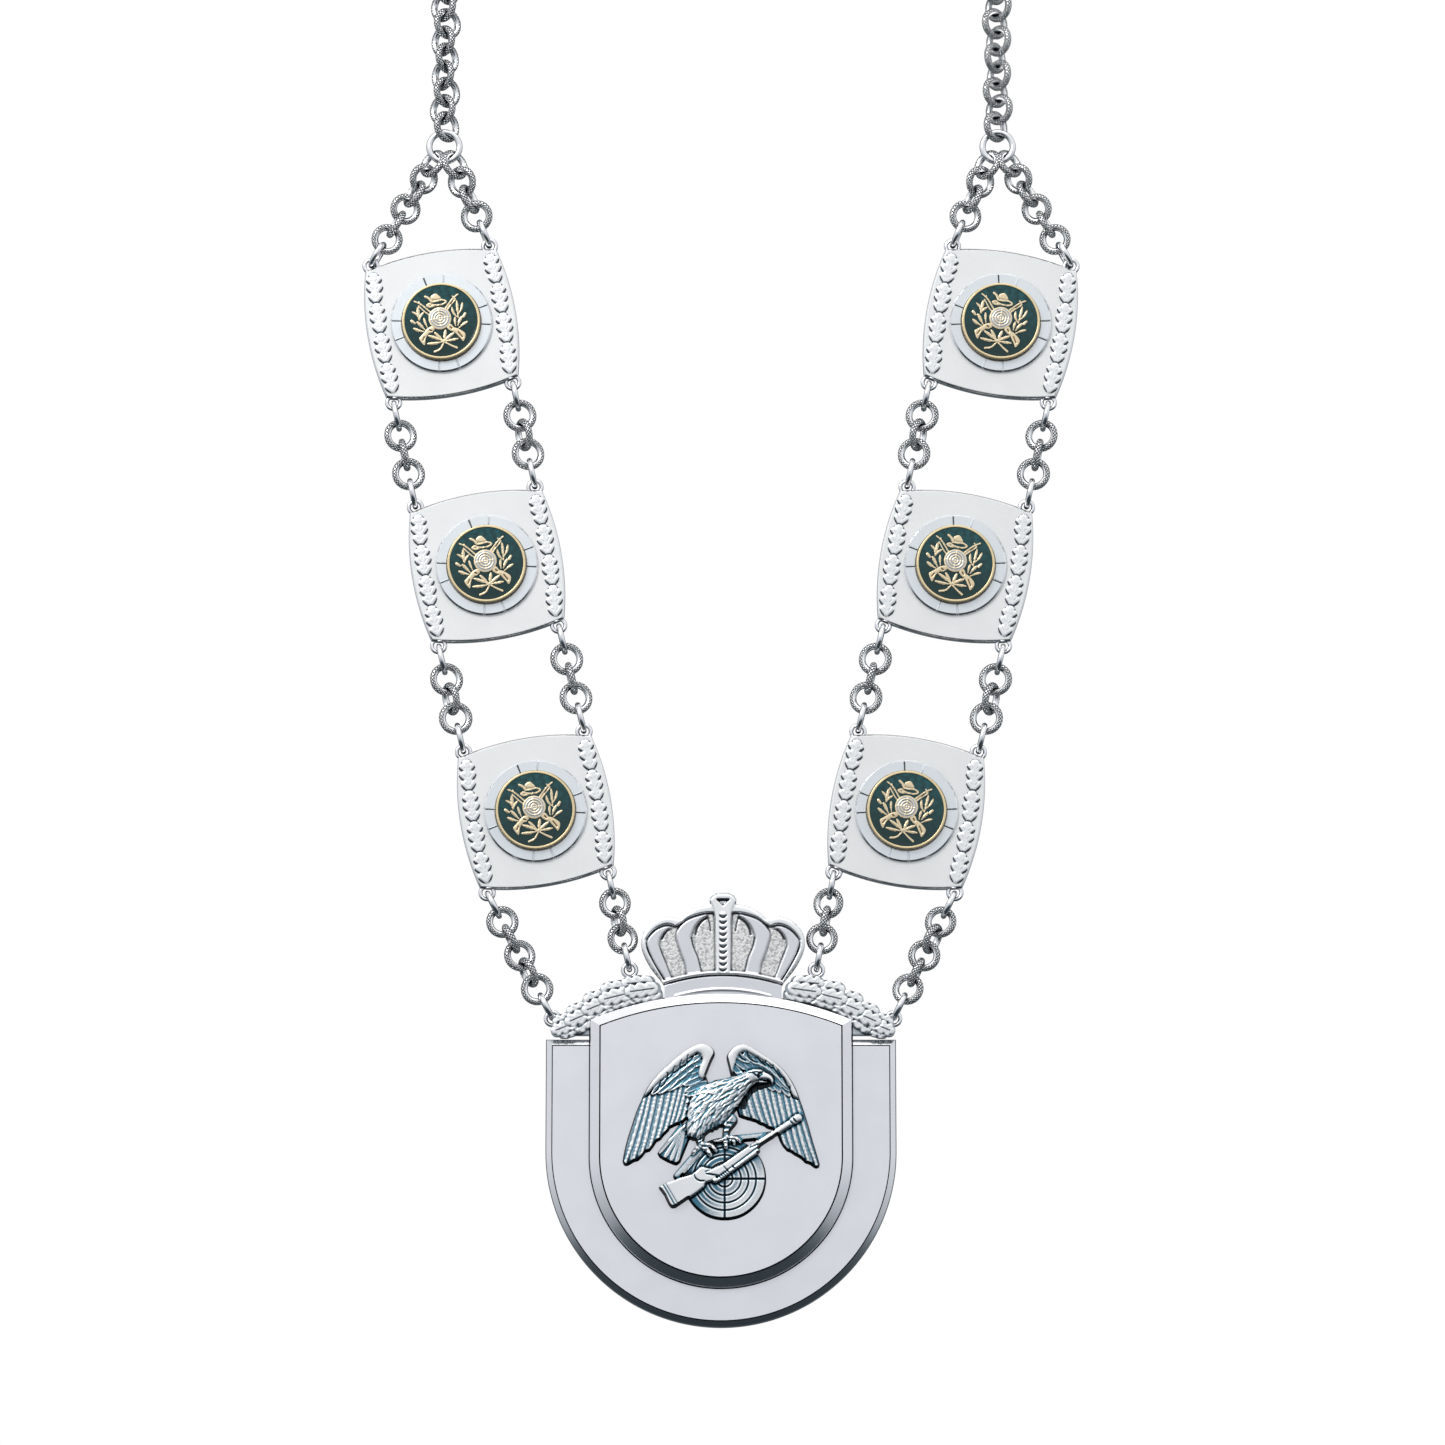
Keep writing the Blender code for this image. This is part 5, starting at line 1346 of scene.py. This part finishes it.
# Barrel and stock of the rear rifle: half width and line
REAR_RIFLE = [
    (1.25, [(-12.9, -7.8), (-9.4, -3.7), (-5.6, 0.6)]),
    (1.2, [(2.6, 3.1), (8.6, 3.6), (14.8, 4.3)]),
]
RIFLE_STOCK = [(-18.6, -11.0), (-16.4, -9.9), (-12.3, -8.4), (-8.4, -7.2), (-7.4, -6.3), (-6.0, -5.1),
               (-5.0, -5.0), (-4.2, -5.4), (-2.6, -5.6), (-0.4, -6.2), (-2.0, -9.2), (-4.6, -9.9),
               (-5.0, -11.2), (-7.0, -12.8), (-10.2, -15.0), (-13.4, -17.2), (-14.6, -17.4), (-15.4, -16.4),
               (-16.6, -13.8)]
RIFLE_BODY = [(-4.8, -6.6), (-1.2, -5.0), (0.4, -4.3), (9.3, 1.9), (10.4, 2.9), (12.4, 1.9), (11.6, 0.6),
              (2.0, -6.4), (-0.6, -8.2), (-4.4, -7.4)]
RIFLE_BARREL = [(10.0, 1.0), (22.7, 9.3)]
RIFLE_ROD = [(-0.8, -8.9), (10.8, -0.4)]
RIFLE_MUZZLE = [(21.6, 8.6), (22.7, 9.3)]
RIFLE_ROD_END = [(-1.7, -9.2), (-1.4, -9.0)]
RIFLE_ROD_TURNS = (0.06, 0.11, 0.16, 0.21, 0.26, 0.40)

# Cuts in the front rifle: half width, depth, tone and line
RIFLE_LINES = [
    (0.28, 0.25, -0.12, [(-17.0, -10.4), (-13.6, -16.4)]),
    (0.2, 0.2, -0.12, [(-16.2, -10.2), (-12.9, -15.8)]),
    (0.22, 0.4, -0.3, [(-7.9, -7.4), (-7.5, -8.5), (-6.4, -9.3), (-4.9, -9.4)]),
    (0.18, 0.3, -0.3, [(-4.6, -6.7), (-2.2, -5.6)]),
    (0.2, 0.3, -0.3, [(-4.4, -7.2), (-0.8, -7.8)]),
    (0.17, 0.3, -0.3, [(0.3, -4.5), (1.9, -6.3)]),
    (0.17, 0.3, -0.3, [(8.4, 0.5), (9.3, 2.0)]),
    (0.17, 0.3, -0.3, [(8.6, 0.5), (10.0, 1.0), (11.8, 1.9)]),
    (0.2, 0.5, -0.4, [(21.2, 9.4), (22.1, 8.0)]),
    (0.15, 0.3, -0.3, [(20.3, 8.7), (21.0, 7.5)]),
]

# Legs: half widths and line
LEGS = [
    ([2.2, 1.25, 0.95], [(-6.2, 6.0), (-6.5, 3.0), (-5.9, 1.4)]),
    ([2.4, 1.25, 0.95], [(2.6, 8.6), (1.6, 5.4), (1.3, 3.2)]),
]

# Toes: half width at the root, and line
TOES = [
    (0.95, [(-5.9, 1.3), (-7.3, 0.1), (-8.3, -1.2)]),
    (1.05, [(-5.7, 1.2), (-4.1, 0.0), (-3.1, -1.6)]),
    (0.9, [(-5.4, 1.6), (-2.9, 1.2), (-1.5, -0.3)]),
    (0.95, [(1.3, 3.4), (1.4, 1.8), (1.5, 0.6)]),
    (0.85, [(1.6, 3.4), (3.6, 2.9), (3.9, 1.7)]),
    (0.8, [(1.8, 3.6), (4.6, 3.3), (5.6, 2.3)]),
    (0.65, [(1.2, 3.2), (-0.6, 2.6), (-1.8, 2.5)]),
]


def step_up(value, place, softness):
    """From 0 to 1 in a soft step."""
    return 1 / (1 + np.exp(-(value - place) / softness))


def peak(value, place, width):
    """A soft fine line of height 1."""
    return np.exp(-((value - place) / width) ** 2)


def barbed_profile(top, lift, inner):
    """A long feather: bright slanting barbs on the inner side of its shaft and a sunk vane on the outer."""
    def height(across, along):
        side = across * inner
        slant = np.sin(tau * (BARBS * along - 0.9 * side))
        vane = step_up(side, 0.18 + 0.10 * slant, 0.07) * step_up(-side, -0.78, 0.06)
        return top + lift * along + (0.28 + 0.07 * slant) * vane - 0.25 * step_up(side, 0.86, 0.04)
    return height


def covert_profile(top, lift):
    """A short feather: a raised thin rim round a sunk middle with a fine shaft."""
    def height(across, along):
        out = np.abs(across)
        fine = 0.22 * peak(out, 0.72, 0.20) + 0.10 * peak(across, 0, 0.14)
        return top + lift * along + fine - 0.22 * np.clip((out - 0.90) / 0.1, 0, 1)
    return height


def tail_profile(across, _):
    """A broad tail feather: a raised flat side and a sunk side, with a fine line along it."""
    return 1.0 + 0.42 * step_up(-across, -0.10, 0.07) - 0.12 * peak(across, -0.45, 0.08)


def shaggy_profile(across, along):
    """A pointed body feather that stands up a little towards its tip, with a fine line along its middle."""
    edge = np.clip((np.abs(across) - 0.66) / 0.3, 0, 1)
    return 0.08 + 0.30 * along + 0.10 * (1 - across ** 2) - 0.26 * edge - 0.08 * peak(across, 0.1, 0.22)


def leg_profile(across, along):
    """A leg: a ridge with small slanting waves."""
    return ridge_profile(1.5, 0.7)(across, along) + 0.16 * np.sin(tau * (4 * along + 0.3 * across))


def toe_profile(across, along):
    """A toe: a ridge with rings across it."""
    return ridge_profile(1.5, 0.80)(across, along) + 0.13 * np.cos(tau * 2.5 * along)


def feather(relief, root, tip, width, profile, tone=0.0):
    """One feather from its root to its round or pointed tip."""
    root, tip = np.asarray(root, float), np.asarray(tip, float)
    points = root + FEATHER_SHARES[:, None] * (tip - root)
    relief.stroke(points, FEATHER_WIDTHS * width, profile, over=True, grow=False, tone=tone)


def widths_along(line, widths):
    """Half widths spread evenly over the points of a line."""
    return np.interp(np.linspace(0, 1, len(line)), np.linspace(0, 1, len(widths)), widths)


def along_line(line, share):
    """The point a share of the way along a line, and the way it runs there."""
    lengths = lengths_along(line)
    want = share * lengths[-1]
    spot = np.array([np.interp(want, lengths, line[:, 0]), np.interp(want, lengths, line[:, 1])])
    k = min(max(int(np.searchsorted(lengths, want)), 1), len(line) - 1)
    way = line[k] - line[k - 1]
    return spot, way / np.hypot(*way)


def wing(relief, rows, side):
    """A raised wing: long barbed feathers, rimmed coverts above them, and a smooth broad leading edge with
    notches where the coverts begin."""
    lead, inner = flow(rows["lead"], 0.8), flow(rows["inner"], 0.5)
    relief.fill(lead.tolist() + rows["trail"] + rows["shoulder"], WING_TOP, dome=0.2, reach=0.5, tone=-0.2)
    for root, tip in zip(rows["roots"][::-1], rows["tips"][::-1]):
        barbed = barbed_profile(WING_TOP + 0.05, lift=0.10, inner=-side)
        feather(relief, root, tip, width=1.38, profile=barbed)
    for k, (root, tip) in enumerate(rows["coverts"]):
        rimmed = covert_profile(WING_TOP + 0.24 + 0.02 * k, lift=0.15)
        feather(relief, root, tip, width=1.02, profile=rimmed, tone=-0.05)
    wrist = int(np.argmin(np.hypot(*(lead - rows["inner"][0]).T)))
    edge = lead[:wrist].tolist() + inner.tolist()
    relief.fill(edge, top=WING_TOP + 1.15, dome=0.45, reach=1.8, over=True, grow=False, tone=0.3)
    for line in rows["notches"]:
        relief.groove(flow(line, 0.4), width=0.17, depth=0.35, tone=-0.3)


def eagle_relief():
    """The whole cast relief of the pendant, from the target at the back to the front rifle."""
    relief = Relief((-31, -24), (31, 34), EAGLE_CELL)
    target(relief)
    for width, line in REAR_RIFLE:
        relief.ridge(line, width, top=1.0, dome=0.5, over=True)
    relief.fill(TAIL_OUTLINE, top=0.95, dome=0.2, reach=0.4)
    for tip in TAIL_TIPS:
        relief.stroke([TAIL_ROOT, tip], [0.7, 1.15], tail_profile, over=True, grow=False)
    wing(relief, WING_LEFT, -1)
    wing(relief, WING_RIGHT, 1)
    for widths, line in LEGS:
        line = flow(line, 0.5)
        relief.stroke(line, widths_along(line, widths), leg_profile, over=True)
    body(relief)
    for width, line in TOES:
        line = flow(line, 0.4)
        relief.stroke(line, np.linspace(width, width * 0.62, len(line)), toe_profile, over=True)
    rifle(relief)
    return relief


def target(relief):
    """The round target: raised bands between dark rings, toned a little darker all over and with painted
    shade that grows towards the upper left.
    """
    relief.fill(circle(TARGET, TARGET_RADIUS, 96), top=0.80, dome=0.2, reach=0.35)
    # painted shade: darker towards the upper left, under the rifle and wing
    away = (relief.x - TARGET[0]) * TARGET_SHADE_WAY[0] + (relief.y - TARGET[1]) * TARGET_SHADE_WAY[1]
    relief.tone = np.where(relief.inside > -2, np.clip(-0.09 - 0.020 * away, -0.17, 0.05), 0.0)
    for radius in TARGET_RINGS:
        line = circle(TARGET, radius + 0.15, 96, closed=True)
        relief.groove(line, width=0.62, depth=-0.06, tone=0.12)
        relief.groove(line, width=0.26, depth=0.34, tone=-0.40)
    for line in crosshair(TARGET, TARGET_RADIUS):
        relief.groove(line, width=0.28, depth=0.34, tone=-0.4)


def body(relief):
    """The eagle's body with its shaggy feathers, and the smooth head with beak and eye."""
    # painted shadow under the head: a dark groove along the throat
    relief.groove(flow(THROAT_SHADOW, 0.5), width=0.85, depth=0.3, tone=-0.9)
    axis = flow(BODY_AXIS, 0.6)
    relief.ridge(axis, widths_along(axis, BODY_WIDTHS), top=1.35, dome=1.7, over=True)
    base = relief.height.copy()
    for i in range(BODY_ROWS):
        share = 0.01 + 0.93 * i / BODY_ROWS
        spot, way = along_line(axis, share)
        across = np.array([-way[1], way[0]])
        width = np.interp(share, np.linspace(0, 1, len(BODY_WIDTHS)), BODY_WIDTHS)
        count = max(4, round(2 * width / 1.15))
        for j in range(count):
            side = (j + 0.5 * (i % 2) + 0.25) / count * 2 - 1
            jitter = sin(3.1 * i + 5.7 * j)
            root = spot + across * side * width * 0.98 + way * (1.6 + 0.6 * jitter)
            heading = -way + across * (0.30 * side + 0.16 * sin(2.1 * i + 3.3 * j))
            heading = heading / np.hypot(*heading)
            length = (4.4 + 0.6 * jitter) * (1 - 0.35 * share)
            bend = across * 0.24 * jitter
            points = flow([root, root + heading * length * 0.5 + bend, root + heading * length], 0.6)
            shares = np.linspace(0, 1, len(points))
            size = (1.0 - 0.35 * share) * np.interp(shares, [0, 0.4, 0.75, 1], [0.40, 0.62, 0.44, 0.05])
            relief.stroke(points, size, shaggy_profile, over=True, base=base)
    head, beak = flow(HEAD, 0.5), flow(BEAK, 0.4)
    relief.ridge(JAW, [0.5, 0.32], top=2.0, dome=0.7, over=True)
    relief.ridge(head, widths_along(head, HEAD_WIDTHS), top=2.1, dome=1.15)
    relief.ridge(beak, widths_along(beak, BEAK_WIDTHS), top=2.2, dome=0.95, over=True)
    for width, line in FACE_LINES:
        relief.groove(flow(line, 0.4), width, depth=0.24, tone=-0.9)


def rifle(relief):
    """The front rifle: stock, body, barrel with its front sight, and the rod under it."""
    relief.ridge(RIFLE_BARREL, 1.0, top=1.9, dome=0.7, over=True, tone=0.15)
    relief.ridge(RIFLE_MUZZLE, 1.25, top=2.2, dome=0.6, over=True)
    relief.fill(RIFLE_STOCK, top=2.55, dome=0.45, reach=0.8, over=True, tone=0.3)
    relief.fill(RIFLE_BODY, top=2.75, dome=0.40, reach=0.8, over=True, tone=0.3)
    relief.ridge(RIFLE_ROD, [0.60, 0.80], top=2.1, dome=0.55, over=True)
    relief.ridge(RIFLE_ROD_END, 0.75, top=2.3, dome=0.5, over=True)
    for width, depth, tone, line in RIFLE_LINES:
        relief.groove(flow(line, 0.5), width, depth, tone)
    start, end = np.array(RIFLE_ROD)
    for share in RIFLE_ROD_TURNS:
        spot = start + (end - start) * share
        relief.groove([spot + (-0.5, 0.6), spot + (0.5, -0.6)], width=0.16, depth=0.4, tone=-0.4)


# Assembly

def shield(word, sizes, profile, slots):
    """One shield plate of the given sizes, in place of its node."""
    shape = Shape().add(*layered(lambda inset: shield_level(*sizes, inset), profile, slots))
    finishes = ["satin", "bevel", "black_and_painted_shadow"][:max(slots) + 1]
    mesh = shape.mesh(f"{word}_shield_plate", finishes, SHIELD_SHARP)
    show(f"{word}_shield_plate", mesh, stood(0, PENDANT_Z), [f"pendant_{word}_shield"])


def shields():
    """Both shields: an upright wall, a bevel with a fine cut above it, and a flat face."""
    half = SHIELD_THICKNESS / 2
    wall, bevel = half - SHIELD_CHAMFER_DEPTH, SHIELD_CHAMFER
    profile = [(0.3, -half), (0, -half + 0.3), (0, wall - 1.0), (0.24, wall - 0.12), (0.32, wall),
               (bevel - 0.30, half - 0.12), (bevel - 0.16, half - 0.45), (bevel, half - 0.05),
               (bevel + 0.05, half)]
    shield("outer", (SHIELD_HALF_WIDTH, SHIELD_SHOULDER, 0, 0), profile, [1] * 8 + [0, 0])
    wall, bevel, face = FIELD_FACE - FIELD_BEVEL_DEPTH, FIELD_BEVEL, FIELD_FACE
    profile = [(-0.36, half), (-0.36, half + 0.03), (0, half + 0.03), (0, wall - 0.5), (0.14, wall - 0.08),
               (0.20, wall), (bevel - 0.45, face - 0.22), (bevel - 0.24, face - 0.75),
               (bevel - 0.04, face - 0.05), (bevel, face)]
    sizes = FIELD_HALF_WIDTH, FIELD_SHOULDER, FIELD_ARCH, FIELD_DROP
    # the inner shield stands on a thin black rim with a black wall: painted shadow at its foot
    shield("inner", sizes, profile, [2, 2, 2] + [1] * 6 + [0, 0])


def pendant():
    shields()
    place = stood(TOP_SHIFT, PENDANT_Z)
    finishes = ["stippled", "brushed", "chased"]
    mesh = relief_mesh("crown_cast", crown_relief(), CROWN_BACK, finishes, strength=0.9)
    show("crown_cast", mesh, place, ["pendant_crown"])
    leaves = wreath_relief()
    for side, word in ((-1, "left"), (1, "right")):
        name = f"wreath_leaves_{word}"
        mesh = relief_mesh(name, leaves, WREATH_BACK, ["chased"], strength=0.6, mirror=side < 0)
        show(name, mesh, place, [f"wreath_{word}"])
        lugs = Shape()
        for x, y in (INNER_LUG, OUTER_LUG):
            add_lug(lugs, (side * x, y), 0)
        show(f"wreath_lugs_{word}", lugs.mesh(f"wreath_lugs_{word}", ["polished"]), place, ())
    place = stood(0, PENDANT_Z) @ Matrix.Translation((0, 0, FIELD_FACE * MM))
    # the eagle's leaning walls take the black finish: painted shadow, widest along its lower edges
    finishes = ["oxidised", "black_and_painted_shadow"]
    mesh = relief_mesh("eagle_cast", eagle_relief(), EAGLE_BACK, finishes, strength=0.9, draft=1.0)
    show("eagle_cast", mesh, place, ["eagle_relief"])


def one_side(side, word, meshes):
    """Everything of one side: the neck chain, its fork, three plaques and the strands between them."""
    turn = -side * PLAQUE_TILT
    lugs = []
    for i, row in enumerate(PLAQUE_ROWS):
        x = side * row["x"] * JUNCTION_X
        z = JUNCTION_Z - FIRST_DROP - i * PLAQUE_DROP
        label = f"{word}_{row['name']}"
        for piece, mesh, cad_node, slot in PLAQUE_PIECES:
            nodes = [cad_node.format(label)] if cad_node else []
            show(piece.format(label), meshes[mesh], stood(x, z, turn), nodes)
        lugs.append([front_point(x, z, turn, spot) for spot in lug_places()])
    neck_chain(word, side)
    hub = side * JUNCTION_X, -FRONT_DEPTH, JUNCTION_Z
    plain_ring(f"junction_ring_{word}", JUNCTION_OUTER, JUNCTION_WIRE, *hub)
    fork(side, word, lugs[0][:2])
    for i, place_word in enumerate(("left", "right")):
        for j, gap_word in enumerate(("upper", "lower")):
            name = f"strand_{word}_{gap_word}_{place_word}"
            strand(name, side, lugs[j][2 + i], lugs[j + 1][i], PLAQUE_STRAND_LINKS)
    inner_start, outer_start = lugs[-1][2:][::side]
    for place_word, start, spot, count in (("inner", inner_start, INNER_LUG, PENDANT_INNER_LINKS),
                                           ("outer", outer_start, OUTER_LUG, PENDANT_OUTER_LINKS)):
        end = Vector((TOP_SHIFT + side * spot[0], PENDANT_Z + spot[1]))
        strand(f"strand_{word}_pendant_{place_word}", side, start, end, count)


def studio():
    """Camera, pale floor and soft light. The world is white to the camera, and what the silver reflects is
    bright from above and in front and dark from below."""
    goal = Vector(VIEW_TARGET) * MM
    camera_data = bpy.data.cameras.new("camera")
    camera_data.sensor_width = SENSOR
    camera_data.lens = SENSOR * VIEW_DISTANCE / VIEW_WIDTH
    camera_data.clip_start = 0.01
    camera_data.clip_end = 100
    camera = linked("camera", camera_data)
    way = Vector((0, cos(VIEW_BELOW), sin(VIEW_BELOW)))
    camera.location = goal - way * VIEW_DISTANCE * MM
    camera.rotation_euler = way.to_track_quat("-Z", "Y").to_euler()
    bpy.context.scene.camera = camera

    half = FLOOR_SIZE / 2
    corners = [(x * half * MM, y * half * MM, FLOOR_Z * MM) for x, y in ((-1, -1), (1, -1), (1, 1), (-1, 1))]
    floor_mesh = bpy.data.meshes.new("floor")
    floor_mesh.from_pydata(corners, [], [(0, 1, 2, 3)])
    floor_mesh.materials.append(floor_paper("floor_paper"))
    floor = linked("floor", floor_mesh)
    floor.visible_glossy = False

    for name, spot, size, power in LIGHTS:
        light_data = bpy.data.lights.new(name, "AREA")
        light_data.size = size * MM
        light_data.energy = power
        light = linked(name, light_data)
        light.location = Vector(spot) * MM
        light.rotation_euler = (goal - light.location).to_track_quat("-Z", "Y").to_euler()
    make_world()
    bpy.context.scene.view_settings.view_transform = "Standard"


def make_world():
    """A world that the camera sees white, and that the silver sees in the colours of the sky table."""
    world = bpy.data.worlds.new("studio")
    world.use_nodes = True
    bpy.context.scene.world = world
    tree = world.node_tree
    where = node(tree, "SeparateXYZ", {0: node(tree, "TexCoord").outputs["Generated"]})
    up, depth = where.outputs[2], where.outputs[1]
    share = node(tree, "MapRange", {"Value": up, "From Min": -1.0, "From Max": 1.0}).outputs["Result"]
    steps = node(tree, "ValToRGB", {"Fac": share})
    stops = steps.color_ramp.elements
    while len(stops) < len(SKY):
        stops.new(0.5)
    for stop, (height, colour) in zip(stops, SKY):
        stop.position = (height + 1) / 2
        stop.color = (*colour, 1)
    seen = blend(tree, ramp(tree, depth, 0.1, 0.7), steps.outputs["Color"], SKY_BEHIND)
    direct = node(tree, "LightPath").outputs["Is Camera Ray"]
    white = blend(tree, direct, seen, (1.0, 1.0, 1.0))
    tree.links.new(white, tree.nodes["Background"].inputs["Color"])


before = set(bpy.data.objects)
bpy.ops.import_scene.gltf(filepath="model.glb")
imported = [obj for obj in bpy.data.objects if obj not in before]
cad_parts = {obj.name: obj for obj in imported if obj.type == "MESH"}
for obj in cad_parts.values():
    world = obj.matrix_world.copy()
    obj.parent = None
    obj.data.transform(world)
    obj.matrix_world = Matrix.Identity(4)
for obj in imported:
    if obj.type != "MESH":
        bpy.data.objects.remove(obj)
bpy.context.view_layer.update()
MATERIALS = make_materials()
studio()
leaves, device = garland_relief(), device_relief()
garland_back, device_back = PLAQUE_FACE - 0.05, ENAMEL_TOP - 0.1
shared = {
    "plate": plaque_mesh(),
    "band": band_mesh(),
    "cup": cup_mesh(),
    "enamel": enamel_mesh(),
    "garland_right": relief_mesh("garland_right", leaves, garland_back, ["chased"], strength=0.45),
    "garland_left": relief_mesh("garland_left", leaves, garland_back, ["chased"], strength=0.45, mirror=True),
    "device": relief_mesh("medallion_device", device, device_back, ["gilt_relief", "brushed"], strength=0.4),
}
plain_ring("closing_ring", CLOSING_OUTER, CLOSING_WIRE, 0, 0, 0)
for side, word in ((-1, "left"), (1, "right")):
    one_side(side, word, shared)
pendant()
